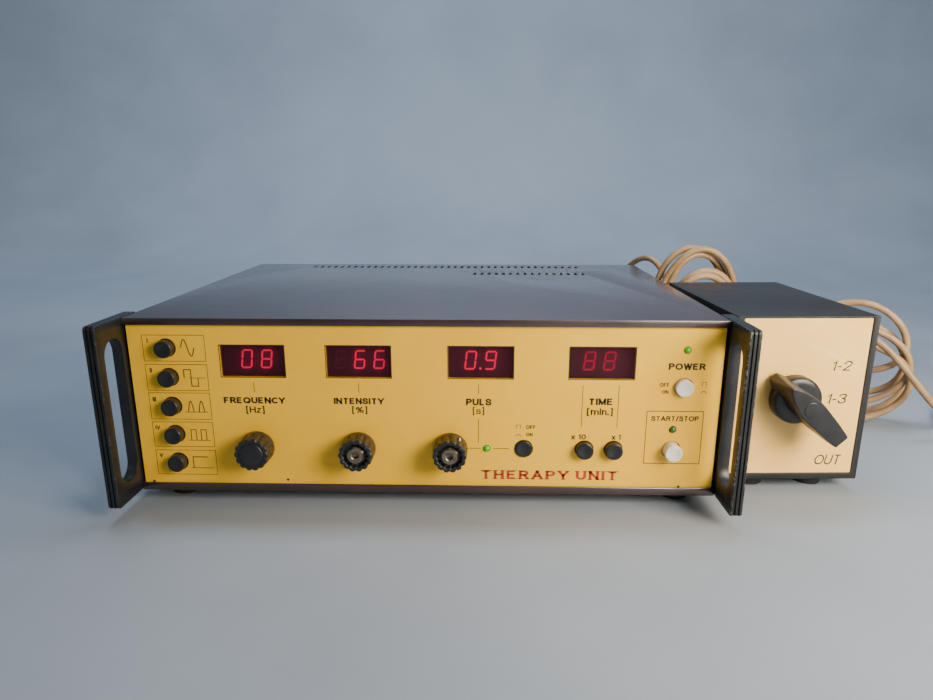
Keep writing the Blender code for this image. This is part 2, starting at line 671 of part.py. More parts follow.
def make_leads():
    """The two leads: tubes where they lie free, and one solid for each hank and coil."""
    into = [beside_hank(MAINS_HANK, -48, 14, -24), beside_hank(MAINS_HANK, -48, 14, -0.7)]
    lead("mains_lead_rear", MAINS_ROUTE + into)
    hank("mains_hank", MAINS_HANK)
    out_of = [beside_hank(MAINS_HANK, 25, up, out) for up, out in ((76, 0.9), (76, 8), (74, 21))]
    lead("mains_lead_strand", out_of + STRAND_ROUTE)
    ring = [(COIL_OUT, COIL_HIGH), (COIL_OUT, GAP), (COIL_IN, GAP), (COIL_IN, COIL_HIGH)]
    turned("mains_coil", ring, "beige_pvc", CONSOLE, (*COIL_AT, 0), sides=28, closed=True)
    lead("mains_lead_end", PLUG_ROUTE)
    profile = [(0, 39.0), (4.6, 39.0), (6.4, 12.0), (12.0, 4.0), (PLUG_RADIUS, -4.0)]
    profile += [(PLUG_RADIUS, -30.0), (0, -30.0)]
    centre = (*PLUG_AT, PLUG_RADIUS + 0.1)
    plug = turned("mains_plug", profile, "beige_pvc", CONSOLE, centre, TO_BACK, sides=16)
    front = PLUG_AT[1] - 30.0
    pins = [(PLUG_AT[0] + side, centre[2], 2.4, front - 19, front + 2, 10) for side in (-9.5, 9.5)]
    boolean(plug, blocks("plug_pins", [], None, CONSOLE, pins), "UNION")
    into = [beside_hank(LINK_HANK, 0, 88, -20), beside_hank(LINK_HANK, 0, 86, -0.7)]
    lead("link_lead", LINK_ROUTE + into)
    hank("link_hank", LINK_HANK)
    into = [beside_hank(LINK_HANK, 35, 25, -16), beside_hank(LINK_HANK, 35, 25, -0.7)]
    lead("link_lead_end", BOX_ROUTE + into)


for old in list(bpy.data.objects):
    bpy.data.objects.remove(old)

OBJECT = collection("therapy_unit")
TOOLS = collection("cutters")
CONSOLE = empty("console_frame", CONSOLE_AT)
SELECTOR = empty("selector_frame", SELECTOR_AT, SELECTOR_TURN, CONSOLE)

make_covers()
make_sides()
make_front_panel()
make_rear_panel()
make_handles()
make_feet(
    "console", FOOT_RADIUS, FOOT_HEIGHT, [(x, y) for y in FOOT_Y for x in (-FOOT_X, FOOT_X)], CONSOLE
)
make_displays()
make_buttons()
make_switches()
make_potentiometers()
make_knobs()
make_lamps()
make_insides()
make_rear_fittings()
make_selector_case()
make_selector_handle()
make_feet(
    "selector", BOX_FOOT_RADIUS, BOX_LOW - GAP,
    [(x, y) for y in BOX_FOOT_Y for x in (-BOX_FOOT_X, BOX_FOOT_X)], SELECTOR,
)
make_leads()
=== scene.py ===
"""The look of a bench physiotherapy generator and its output selector box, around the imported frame.

Local sizes are in millimetres. The console frame has its origin on the table below the middle of the front
panel's face, +X to the right, +Y to the back and +Z up. The panel frames are seen from the front: X to the
right, Y up from the table and Z out of the panel.
"""

import math

import bmesh
import bpy
import numpy as np
from mathutils import Matrix, Vector

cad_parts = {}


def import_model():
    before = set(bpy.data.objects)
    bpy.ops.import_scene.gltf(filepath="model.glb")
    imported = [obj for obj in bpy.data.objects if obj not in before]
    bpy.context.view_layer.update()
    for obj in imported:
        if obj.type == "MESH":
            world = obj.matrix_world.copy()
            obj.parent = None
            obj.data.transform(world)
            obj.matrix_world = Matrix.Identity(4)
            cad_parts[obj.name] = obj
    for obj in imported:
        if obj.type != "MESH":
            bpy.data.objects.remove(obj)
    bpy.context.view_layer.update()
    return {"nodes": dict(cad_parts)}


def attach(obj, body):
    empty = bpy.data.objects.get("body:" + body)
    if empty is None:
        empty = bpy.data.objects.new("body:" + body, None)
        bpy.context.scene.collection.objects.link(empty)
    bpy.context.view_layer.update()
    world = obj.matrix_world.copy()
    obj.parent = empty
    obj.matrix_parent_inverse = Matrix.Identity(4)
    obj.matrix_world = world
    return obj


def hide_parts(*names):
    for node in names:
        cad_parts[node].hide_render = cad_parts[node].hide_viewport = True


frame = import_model()

TAU = 2 * math.pi
TO_FRONT = Matrix.Rotation(math.pi / 2, 4, "X")
TO_BACK = Matrix.Rotation(-math.pi / 2, 4, "X")
TO_SIDE = Matrix(((0, 0, 1, 0), (1, 0, 0, 0), (0, 1, 0, 0), (0, 0, 0, 1)))
CONSOLE = Matrix.Translation((-57.1, -151.45, 0.0))
SELECTOR = CONSOLE @ Matrix.Translation((284.1, 31.3, 0.0)) @ Matrix.Rotation(math.radians(2.1), 4, "Z")
PANEL = CONSOLE @ TO_FRONT
BOX_FACE = SELECTOR @ TO_FRONT

# Front panel layout, in the panel frame.
ROW_Y = 45.9
WINDOW_X = (-123.5, -46.9, 40.9, 127.4)
WINDOW_Y, WINDOW_WIDE, WINDOW_HIGH = 111.5, 46.5, 23.5
KNOB_X = (-124.2, -48.9, 18.9)
MODE_X, MODE_LOW, MODE_PITCH = -185.1, 33.3, 21.95
BUTTONS = [(f"mode_button_{i + 1}", MODE_X, MODE_LOW + (4 - i) * MODE_PITCH, 6.6) for i in range(5)]
BUTTONS += [
    ("pulse_button", 72.8, ROW_Y, 1.5),
    ("time_tens_button", 117.2, ROW_Y, 5.5),
    ("time_units_button", 138.5, ROW_Y, 5.5),
    ("power_button", 186.1, 94.2, 4.0),
    ("start_button", 180.8, ROW_Y, 8.0),
]
LAMPS = (("pulse_lamp", 45.6, ROW_Y), ("power_lamp", 186.7, 121.7), ("start_lamp", 180.7, 62.0))
AXIS_X, AXIS_Y = -5.9, 77.4
MIDDLE_Y, CASE_LIFT = 77.35, 16.5
REAR_FACE, RELIEF_LENGTH, BOX_DEEP = 304.6, 33.0, 166.0
MAINS_EXIT, LINK_EXIT, BOX_EXIT = (120.0, 40.0), (190.0, 60.0), (40.0, 42.0)

# The leads: both are 6.5 mm round flexes.
CORD = 6.5
LINK_HANK = {"at": (263.8, 241.5), "wide": 90.0, "high": 171.0, "thick": 40.0, "turn": 2.1, "lean": 8.0}
MAINS_HANK = {"at": (418.0, 195.0), "wide": 146.0, "high": 132.0, "thick": 38.0, "turn": -21.0, "lean": 4.0}
COIL_AT, COIL_RADIUS = (572.0, 190.0), (32.4, 38.9)
PLUG_AT, PLUG_RADIUS = (530.0, 70.0), 18.5


# ---------------------------------------------------------------- materials


def linear(code, alpha=1.0):
    """An sRGB hex colour as linear light."""
    channels = np.array([int(code[i : i + 2], 16) / 255 for i in (0, 2, 4)])
    light = np.where(channels <= 0.04045, channels / 12.92, ((channels + 0.055) / 1.055) ** 2.4)
    return (*light.tolist(), alpha)


def add(tree, kind, inputs=None, **settings):
    """One shader node with its settings. Each input is a value, or a socket to link from."""
    made = tree.nodes.new(kind)
    for name, value in settings.items():
        setattr(made, name, value)
    for name, value in (inputs or {}).items():
        if isinstance(value, bpy.types.NodeSocket):
            tree.links.new(value, made.inputs[name])
        else:
            made.inputs[name].default_value = value
    return made


def start(name, **sockets):
    """A new material: its node tree, its Principled shader and its object-space coordinates."""
    made = bpy.data.materials.new(name)
    made.use_nodes = True
    tree = made.node_tree
    shader = tree.nodes["Principled BSDF"]
    for socket, value in sockets.items():
        shader.inputs[socket.replace("_", " ")].default_value = value
    where = add(tree, "ShaderNodeTexCoord").outputs["Object"]
    return made, tree, shader, where


def mottled(name, dark, light, size, rough, grain=None, lift=0.0, **sockets):
    """A finish whose colour and gloss drift over patches of a size in mm, with an optional fine grain.

    rough is the range of roughness. grain is the grain's size in mm and lift its height in mm.
    """
    made, tree, shader, where = start(name, **sockets)
    drift = add(
        tree, "ShaderNodeTexNoise", {"Vector": where, "Scale": 1000 / size, "Detail": 4.0, "Roughness": 0.6}
    )
    tone = add(tree, "ShaderNodeMapRange", {"Value": drift.outputs["Fac"], "From Min": 0.3, "From Max": 0.7})
    colour = add(
        tree, "ShaderNodeMix", {0: tone.outputs[0], 6: linear(dark), 7: linear(light)}, data_type="RGBA"
    )
    spread = {"From Min": 0.3, "From Max": 0.7, "To Min": rough[0], "To Max": rough[1]}
    gloss = add(tree, "ShaderNodeMapRange", {"Value": drift.outputs["Fac"], **spread})
    tree.links.new(colour.outputs[2], shader.inputs["Base Color"])
    tree.links.new(gloss.outputs[0], shader.inputs["Roughness"])
    if grain:
        fine = add(tree, "ShaderNodeTexNoise", {"Vector": where, "Scale": 1000 / grain, "Detail": 2.0})
        bump = add(
            tree, "ShaderNodeBump", {"Height": fine.outputs["Fac"], "Distance": lift * 0.001, "Strength": 0.6}
        )
        tree.links.new(bump.outputs[0], shader.inputs["Normal"])
    return made, tree, shader, where, colour


def make_finishes():
    """Every finish, named for the real one."""
    finishes = {}
    # Gloss stove enamel on sheet steel: a very dark brown that mirrors the room at a low angle.
    finishes["stove enamel, brown"] = mottled(
        "stove_enamel_brown", "221010", "301714", 45.0, (0.3, 0.4), grain=1.6, lift=0.012,
        Specular_IOR_Level=0.75, Coat_Weight=1.0, Coat_Roughness=0.2,
    )[0]
    # Satin anodised aluminium, dyed yellow gold: even colour, soft sheen, very fine etch.
    finishes["anodised aluminium, gold"] = mottled(
        "anodised_aluminium_gold", "F4BA1C", "FBC62A", 60.0, (0.36, 0.44), grain=0.5, lift=0.004,
        Metallic=0.15,
    )[0]
    # Semi-matt paint, cream: even, with faint handling marks.
    finishes["semi-matt paint, cream"] = mottled(
        "semi_matt_paint_cream", "F4C468", "FBCE76", 35.0, (0.42, 0.55), grain=0.7, lift=0.006
    )[0]
    # Passivated zinc plate on steel: dull silver with slow, cloudy patches.
    finishes["zinc plate"] = mottled(
        "zinc_plate_passivated", "8F9292", "B4B7B4", 14.0, (0.3, 0.46), grain=0.5, lift=0.004, Metallic=1.0
    )[0]
    finishes["chipped black paint"] = make_chipped_paint()
    # Textured powder coat: charcoal, with grit about 0.9 mm across that breaks up the light.
    finishes["textured powder coat, charcoal"] = mottled(
        "powder_coat_textured_charcoal", "121315", "1B1D20", 25.0, (0.5, 0.64), grain=0.9, lift=0.05
    )[0]
    # Moulded ABS: nearly even colour and a satin gloss with a trace of handling.
    finishes["moulded ABS, black"] = mottled(
        "moulded_abs_black", "17181B", "202226", 9.0, (0.3, 0.42), grain=0.45, lift=0.004
    )[0]
    finishes["moulded ABS, white"] = mottled(
        "moulded_abs_white", "DED8CC", "EDE8DF", 9.0, (0.32, 0.42), grain=0.45, lift=0.003,
        Subsurface_Weight=0.08, Subsurface_Scale=0.002,
    )[0]
    # Vulcanised rubber: matt black with a greyish bloom.
    finishes["rubber, black"] = mottled(
        "vulcanised_rubber_black", "151516", "242424", 8.0, (0.68, 0.85), grain=0.6, lift=0.02
    )[0]
    # Glass-fibre board under green solder mask: a smooth, slightly cloudy green.
    finishes["circuit board"] = mottled(
        "circuit_board_green", "1F4429", "2C5A36", 5.0, (0.32, 0.5), grain=0.8, lift=0.01
    )[0]
    # Varnished transformer laminations: blue-grey steel with a dull shine.
    finishes["transformer steel"] = mottled(
        "transformer_laminations_varnished", "3E4247", "5C6167", 6.0, (0.38, 0.5), grain=0.5, lift=0.02,
        Metallic=0.7,
    )[0]
    # Nickel bronze turned on a lathe, tarnished: a dull brownish grey.
    finishes["tarnished bronze"] = mottled(
        "nickel_bronze_tarnished", "6E6455", "958A78", 3.0, (0.32, 0.5), grain=0.4, lift=0.008, Metallic=0.9
    )[0]
    # Nickel plate: bright, a little warm.
    finishes["nickel plate"] = mottled(
        "nickel_plate_bright", "B7B2A8", "CCC8BF", 4.0, (0.16, 0.26), Metallic=1.0
    )[0]
    # Plasticised PVC: beige, softly glossy, with a fine extruded surface and a little grime.
    finishes["soft PVC, beige"] = mottled(
        "soft_pvc_beige", "957652", "AE9068", 16.0, (0.38, 0.54), grain=0.7, lift=0.012,
        Subsurface_Weight=0.05, Subsurface_Scale=0.002,
    )[0]
    # The same PVC, moulded: smoother and a little glossier than the extruded lead.
    finishes["moulded PVC, beige"] = mottled(
        "moulded_pvc_beige", "9C7C5A", "B0926E", 20.0, (0.36, 0.48), grain=0.6, lift=0.006
    )[0]
    # Screen-printing ink: matt, a little uneven in cover.
    finishes["ink, dark olive"] = mottled("screen_ink_dark_olive", "17140B", "241F12", 2.0, (0.5, 0.62))[0]
    finishes["ink, red"] = mottled("screen_ink_red", "9E2D22", "B23A2C", 2.0, (0.45, 0.55))[0]
    finishes["ink, black"] = mottled("screen_ink_black", "110F0B", "1C1812", 2.0, (0.5, 0.6))[0]
    finishes["paint, white"] = mottled("index_paint_white", "C9C6BE", "DAD8D0", 2.0, (0.45, 0.6))[0]
    finishes["scratched paint"] = mottled("scratched_paint_pale", "FFF0CC", "FFF6DC", 1.2, (0.6, 0.8))[0]
    finishes["red filter"] = make_filter()
    finishes["lit segment"] = make_segment("display_segment_lit", "FF0A4A", 1.15)
    finishes["dim segment"] = make_segment("display_segment_dim", "C40A3C", 0.5)
    # Unlit bars keep a faint painted glow.
    finishes["dark segment"] = make_segment("display_segment_dark", "5A0A1E", 0.05)
    finishes["digit face"] = make_digit_face()
    finishes["green lamp, lit"] = make_lamp("lamp_epoxy_green_lit", "3AA818", "1A6A0E", 0.3)
    # The unlit lamp keeps a faint painted glow.
    finishes["green lamp, dark"] = make_lamp("lamp_epoxy_green_dark", "2A6B30", "143A1B", 0.02)
    return finishes


def make_chipped_paint():
    """Satin black paint on die-cast aluminium. Chips show grey metal where the wear attribute is high."""
    made, tree, shader, where, colour = mottled(
        "satin_black_paint_chipped", "101214", "1B1E21", 18.0, (0.36, 0.5), grain=0.6, lift=0.012
    )
    worn = add(tree, "ShaderNodeAttribute", attribute_name="wear").outputs["Fac"]
    noise = {"Vector": where, "Scale": 420.0, "Detail": 5.0, "Roughness": 0.7}
    flakes = add(tree, "ShaderNodeTexNoise", noise).outputs["Fac"]
    total = add(tree, "ShaderNodeMath", {0: worn, 1: flakes}, operation="MULTIPLY")
    chip = add(tree, "ShaderNodeMapRange", {"Value": total.outputs[0], "From Min": 0.6, "From Max": 0.64})
    sides = {0: chip.outputs[0], 6: colour.outputs[2], 7: linear("7D7F80")}
    bare = add(tree, "ShaderNodeMix", sides, data_type="RGBA")
    tree.links.new(bare.outputs[2], shader.inputs["Base Color"])
    tree.links.new(chip.outputs[0], shader.inputs["Metallic"])
    return made


def make_filter():
    """Dark red acrylic, polished, thin enough to count as a film: the digits show through it."""
    made, tree, shader, where = start("acrylic_filter_dark_red", IOR=1.49, Alpha=0.32)
    haze = add(tree, "ShaderNodeTexNoise", {"Vector": where, "Scale": 90.0, "Detail": 3.0}).outputs["Fac"]
    gloss = add(tree, "ShaderNodeMapRange", {"Value": haze, "To Min": 0.04, "To Max": 0.12})
    reds = {0: haze, 6: linear("3A0818"), 7: linear("520E22")}
    tint = add(tree, "ShaderNodeMix", reds, data_type="RGBA")
    tree.links.new(tint.outputs[2], shader.inputs["Base Color"])
    tree.links.new(gloss.outputs[0], shader.inputs["Roughness"])
    return made


def make_segment(name, code, strength):
    """A light-pipe segment: epoxy that glows, a little unevenly."""
    made, tree, shader, where = start(
        name, Roughness=0.4, Base_Color=linear(code), Emission_Color=linear(code), Emission_Strength=strength
    )
    cloud = add(tree, "ShaderNodeTexNoise", {"Vector": where, "Scale": 900.0, "Detail": 1.0})
    spread = {"To Min": strength * 0.85, "To Max": strength * 1.15}
    power = add(tree, "ShaderNodeMapRange", {"Value": cloud.outputs["Fac"], **spread})
    tree.links.new(power.outputs[0], shader.inputs["Emission Strength"])
    return made


def make_digit_face():
    """The grey-black face of a digit block, with a painted red glow around what is lit: emission read from a
    point attribute.
    """
    made, tree, shader, _, _ = mottled(
        "digit_block_face", "120A0E", "1C1014", 6.0, (0.45, 0.6), Emission_Color=linear("B0063A")
    )
    bloom = add(tree, "ShaderNodeAttribute", attribute_name="painted_glow").outputs["Fac"]
    power = add(tree, "ShaderNodeMath", {0: bloom, 1: 0.3}, operation="MULTIPLY")
    tree.links.new(power.outputs[0], shader.inputs["Emission Strength"])
    return made


def make_lamp(name, core, rim, strength):
    """Diffused green epoxy with painted shade: lighter where the dome faces the eye, darker towards its rim,
    in both the base and the glow colour.
    """
    made, tree, shader, _ = start(
        name, Roughness=0.18, Emission_Strength=strength, Coat_Weight=0.6, Coat_Roughness=0.08
    )
    # Painted shade: the colour darkens from core to rim with the viewing angle.
    facing = add(tree, "ShaderNodeLayerWeight", {"Blend": 0.35}).outputs["Facing"]
    colour = add(tree, "ShaderNodeMix", {0: facing, 6: linear(core), 7: linear(rim)}, data_type="RGBA")
    tree.links.new(colour.outputs[2], shader.inputs["Base Color"])
    tree.links.new(colour.outputs[2], shader.inputs["Emission Color"])
    return made


FINISH = make_finishes()


# ---------------------------------------------------------------- shapes


def grid_faces(rows, columns, around=True, along=False):
    """Quads between neighbouring points of a grid, closed around its columns and, if asked, its rows."""
    r = np.arange(rows if along else rows - 1)[:, None]
    c = np.arange(columns if around else columns - 1)[None, :]
    r_next, c_next = (r + 1) % rows, (c + 1) % columns
    corners = (r * columns + c, r * columns + c_next, r_next * columns + c_next, r_next * columns + c)
    return np.stack(np.broadcast_arrays(*corners), -1).reshape(-1, 4).tolist()


def closed_stack(rings):
    """A stack of closed outlines as a solid: quads between neighbours and a flat face at each end."""
    rings = np.asarray(rings, float)
    rows, columns = rings.shape[:2]
    faces = grid_faces(rows, columns)
    faces.append(list(range(columns))[::-1])
    faces.append(list(range((rows - 1) * columns, rows * columns)))
    return rings.reshape(-1, 3), faces


def joined(parts):
    """Several (points, faces) as one."""
    points, faces, count = [], [], 0
    for some, quads in parts:
        points.append(some)
        faces += [[i + count for i in face] for face in quads]
        count += len(some)
    return np.concatenate(points), faces


def piece(name, shape, finish, place, body="case", stands_for=(), crease=32, at=(0, 0, 0), marks=None):
    """A finished piece from (points, faces) in mm: welded, facing outwards, smooth up to the crease angle.

    marks holds arrays of one number a point, kept as attributes for the material.
    """
    points, faces = shape
    turn = np.array(place.to_3x3())
    world = ((np.asarray(points, float) + at) @ turn.T + np.array(place.translation)) * 0.001
    mesh = bpy.data.meshes.new(name)
    mesh.from_pydata(world.tolist(), [], faces)
    for label, values in (marks or {}).items():
        layer = mesh.attributes.new(label, "FLOAT", "POINT")
        layer.data.foreach_set("value", np.asarray(values, np.float32).ravel())
    bm = bmesh.new()
    bm.from_mesh(mesh)
    bmesh.ops.remove_doubles(bm, verts=bm.verts, dist=1e-6)
    bmesh.ops.dissolve_degenerate(bm, edges=bm.edges, dist=1e-7)
    bmesh.ops.recalc_face_normals(bm, faces=bm.faces)
    bm.to_mesh(mesh)
    bm.free()
    return finished(name, mesh, finish, body, stands_for, crease)


def finished(name, mesh, finish, body="case", stands_for=(), crease=32):
    """Puts a mesh in the scene as a piece that rides on a body and stands for CAD nodes."""
    mesh.shade_smooth()
    mesh.set_sharp_from_angle(angle=math.radians(crease))
    mesh.materials.clear()
    mesh.materials.append(FINISH[finish])
    made = bpy.data.objects.new(name, mesh)
    bpy.context.scene.collection.objects.link(made)
    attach(made, body)
    if stands_for:
        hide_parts(*stands_for)
    return made


def lathe(profile, sides=48, lobes=None):
    """A profile of (radius, height) turned about Z. lobes gives a factor on the radius by height and angle."""
    profile = np.asarray(profile, float)
    angle = np.arange(sides) * TAU / sides
    radius = np.repeat(profile[:, :1], sides, 1)
    if lobes is not None:
        radius = radius * lobes(profile[:, 1:2], angle[None, :])
    height = np.repeat(profile[:, 1:], sides, 1)
    rings = np.stack([radius * np.cos(angle), radius * np.sin(angle), height], -1)
    return closed_stack(rings)


def rounded(corners, radius, steps=4):
    """A profile whose inner corners are replaced by arcs: each arc is a quadratic curve between two points
    a radius away from the corner along its two sides."""
    corners = np.asarray(corners, float)
    found = [corners[:1]]
    t = np.linspace(0, 1, steps)[:, None]
    for a, b, c in zip(corners, corners[1:], corners[2:]):
        before, after = np.linalg.norm(a - b), np.linalg.norm(c - b)
        near = b + (a - b) * min(radius / before, 0.49)
        far = b + (c - b) * min(radius / after, 0.49)
        found.append(near * (1 - t) ** 2 + 2 * b * t * (1 - t) + far * t**2)
    return np.concatenate([*found, corners[-1:]])


def rectangle(half_x, half_y, radius, steps=5):
    """The outline of a rectangle with round corners, anticlockwise, with the same count for any size."""
    quarter = np.linspace(0, math.pi / 2, steps)
    points = []
    for turn, (sx, sy) in enumerate(((1, 1), (-1, 1), (-1, -1), (1, -1))):
        angle = quarter + turn * math.pi / 2
        x = sx * (half_x - radius) + radius * np.cos(angle)
        y = sy * (half_y - radius) + radius * np.sin(angle)
        points.append(np.stack([x, y], -1))
    return np.concatenate(points)


def slab(half_x, half_y, radius, layers, centre=(0.0, 0.0), steps=5):
    """Rounded rectangles stacked along Z. Each layer is (inset, height)."""
    rings = []
    for inset, height in layers:
        outline = rectangle(half_x - inset, half_y - inset, max(radius - inset, 0.02), steps)
        ring = np.column_stack([outline + centre, np.full(len(outline), height)])
        rings.append(ring)
    return closed_stack(rings)


def softened(node, name, width, finish):
    """A copy of a CAD node with its triangles merged, its flat faces joined and its sharp edges rounded."""
    bm = bmesh.new()
    bm.from_mesh(frame["nodes"][node].data)
    bmesh.ops.remove_doubles(bm, verts=bm.verts, dist=1e-6)
    bmesh.ops.dissolve_limit(bm, angle_limit=math.radians(1), verts=bm.verts, edges=bm.edges)
    sharp = [e for e in bm.edges if len(e.link_faces) == 2 and e.calc_face_angle() > 0.5]
    bmesh.ops.bevel(
        bm, geom=sharp, offset=width * 0.001, segments=2, profile=0.5, affect="EDGES", clamp_overlap=True
    )
    mesh = bpy.data.meshes.new(name)
    bm.to_mesh(mesh)
    bm.free()
    return finished(name, mesh, finish, "case", (node,), 40)


def flat_plate(outlines, low, high):
    """Closed outlines filled in the local XY plane, with holes, and given the thickness from low to high."""
    curve = bpy.data.curves.new("outline", "CURVE")
    curve.dimensions = "2D"
    curve.fill_mode = "BOTH"
    curve.extrude = (high - low) / 2
    for outline in outlines:
        spline = curve.splines.new("POLY")
        spline.points.add(len(outline) - 1)
        flat = np.column_stack([outline, np.zeros(len(outline)), np.ones(len(outline))])
        spline.points.foreach_set("co", flat.astype(np.float32).ravel())
        spline.use_cyclic_u = True
    return mesh_of(curve, (0, 0, (low + high) / 2))


def mesh_of(curve, shift=(0, 0, 0)):
    """The points and faces that a curve makes, moved by a shift."""
    guide = bpy.data.objects.new("guide", curve)
    bpy.context.scene.collection.objects.link(guide)
    bpy.context.view_layer.update()
    mesh = bpy.data.meshes.new_from_object(guide.evaluated_get(bpy.context.evaluated_depsgraph_get()))
    points = np.empty(len(mesh.vertices) * 3, np.float32)
    mesh.vertices.foreach_get("co", points)
    faces = [list(face.vertices) for face in mesh.polygons]
    bpy.data.objects.remove(guide)
    bpy.data.meshes.remove(mesh)
    return points.reshape(-1, 3) + np.array(shift), faces


def circle(x, y, radius, sides=48):
    """The outline of a circle about (x, y)."""
    angle = np.arange(sides) * TAU / sides
    return np.stack([x + radius * np.cos(angle), y + radius * np.sin(angle)], -1)


# ---------------------------------------------------------------- printing


def smooth_route(points, spacing=3.0):
    """A Catmull-Rom curve through the points, read again at even steps."""
    p = np.asarray(points, float)
    ends = np.vstack([2 * p[0] - p[1], p, 2 * p[-1] - p[-2]])
    a, b, c, d = (ends[i : len(ends) - 3 + i, None, :] for i in range(4))
    t = np.linspace(0, 1, 24, endpoint=False)[None, :, None]
    curve = 0.5 * (2 * b + (c - a) * t + (2 * a - 5 * b + 4 * c - d) * t**2 + (3 * b - a - 3 * c + d) * t**3)
    curve = np.vstack([curve.reshape(-1, p.shape[1]), p[-1]])
    run = np.concatenate([[0], np.cumsum(np.linalg.norm(np.diff(curve, axis=0), axis=1))])
    even = np.linspace(0, run[-1], max(2, round(run[-1] / spacing)))
    return np.stack([np.interp(even, run, axis) for axis in curve.T], -1)


def curve_through(points):
    """A soft stroke through points in the plane."""
    return smooth_route(points, 0.06)


def bow(x, y, half_x, half_y, first, last):
    """Points on an elliptical arc, its angles in degrees."""
    angle = np.radians(np.linspace(first, last, max(5, round(abs(last - first) / 18))))
    return np.stack([x + half_x * np.cos(angle), y + half_y * np.sin(angle)], -1)


def grotesque():
    """Centre lines of a plain sans-serif alphabet, one unit high, drawn with an even stroke."""
    ess = curve_through(
        [(0.63, 0.77), (0.52, 0.95), (0.3, 1.0), (0.09, 0.93), (0.03, 0.75), (0.13, 0.59), (0.34, 0.51)]
        + [(0.56, 0.42), (0.66, 0.25), (0.57, 0.07), (0.33, 0.0), (0.1, 0.06), (0.0, 0.25)]
    )
    head = np.vstack([(0, 1), bow(0.37, 0.74, 0.26, 0.26, 90, -90), (0, 0.48)])
    ring = bow(0.45, 0.5, 0.45, 0.5, 90, 450)
    arch = np.vstack([(0, 0.42), bow(0.2, 0.52, 0.2, 0.2, 180, 0), (0.4, 0)])
    two = curve_through(
        [(0.02, 0.74), (0.12, 0.94), (0.32, 1.0), (0.53, 0.93), (0.6, 0.74), (0.48, 0.5), (0, 0)]
    )
    upper = [(0.0, 0.8), (0.12, 0.96), (0.3, 1.0), (0.52, 0.93), (0.57, 0.76), (0.47, 0.58), (0.24, 0.52)]
    lower = [(0.24, 0.52), (0.5, 0.47), (0.61, 0.27), (0.52, 0.06), (0.3, 0), (0.09, 0.05), (0, 0.22)]
    three = [curve_through(upper), curve_through(lower)]
    rings = [bow(0.2, 0.78, 0.17, 0.2, 90, 450), bow(0.74, 0.22, 0.17, 0.2, 90, 450)]
    bracket = np.array([(0.2, 1.14), (0, 1.14), (0, -0.22), (0.2, -0.22)])
    return {
        "A": [[(0, 0), (0.4, 1)], [(0.4, 1), (0.8, 0)], [(0.14, 0.32), (0.66, 0.32)]],
        "C": [bow(0.43, 0.5, 0.43, 0.5, 42, 318)],
        "E": [[(0.64, 0), (0, 0), (0, 1), (0.62, 1)], [(0, 0.52), (0.57, 0.52)]],
        "F": [[(0, 0), (0, 1), (0.6, 1)], [(0, 0.5), (0.52, 0.5)]],
        "H": [[(0, 0), (0, 1)], [(0.68, 0), (0.68, 1)], [(0, 0.52), (0.68, 0.52)]],
        "I": [[(0, 0), (0, 1)]],
        "L": [[(0, 1), (0, 0), (0.55, 0)]],
        "M": [[(0, 0), (0, 1)], [(0, 1), (0.41, 0.06)], [(0.41, 0.06), (0.82, 1)], [(0.82, 1), (0.82, 0)]],
        "N": [[(0, 0), (0, 1)], [(0, 1), (0.68, 0)], [(0.68, 0), (0.68, 1)]],
        "O": [ring],
        "P": [[(0, 0), (0, 1)], head],
        "Q": [ring, [(0.54, 0.26), (0.88, -0.06)]],
        "R": [[(0, 0), (0, 1)], head, [(0.36, 0.48), (0.66, 0)]],
        "S": [ess],
        "T": [[(0.35, 0), (0.35, 1)], [(0, 1), (0.7, 1)]],
        "U": [np.vstack([(0, 1), bow(0.34, 0.32, 0.34, 0.32, 180, 360), (0.68, 1)])],
        "V": [[(0, 1), (0.37, 0)], [(0.37, 0), (0.74, 1)]],
        "W": [[(0, 1), (0.26, 0)], [(0.26, 0), (0.52, 1)], [(0.52, 1), (0.78, 0)], [(0.78, 0), (1.04, 1)]],
        "Y": [[(0, 1), (0.37, 0.44)], [(0.74, 1), (0.37, 0.44)], [(0.37, 0.5), (0.37, 0)]],
        "x": [[(0, 0), (0.46, 0.72)], [(0, 0.72), (0.46, 0)]],
        "z": [[(0, 0.72), (0.46, 0.72), (0, 0), (0.48, 0)]],
        "i": [[(0, 0), (0, 0.72)], [(0, 0.92), (0, 1.06)]],
        "n": [[(0, 0), (0, 0.78)], arch],
        "m": [[(0, 0), (0, 0.78)], arch, arch + (0.4, 0)],
        "s": [ess * 0.74],
        ".": [[(0, -0.04), (0, 0.1)]],
        "-": [[(0, 0.4), (0.36, 0.4)]],
        "/": [[(0, -0.05), (0.34, 1.05)]],
        "[": [bracket],
        "]": [bracket * (-1, 1) + (0.2, 0)],
        "%": [*rings, [(0.2, -0.02), (0.74, 1.02)]],
        "0": [bow(0.3, 0.5, 0.3, 0.5, 90, 450)],
        "1": [[(0.02, 0.74), (0.28, 1), (0.28, 0)]],
        "2": [two, [(0, 0), (0.62, 0)]],
        "3": three,
    }


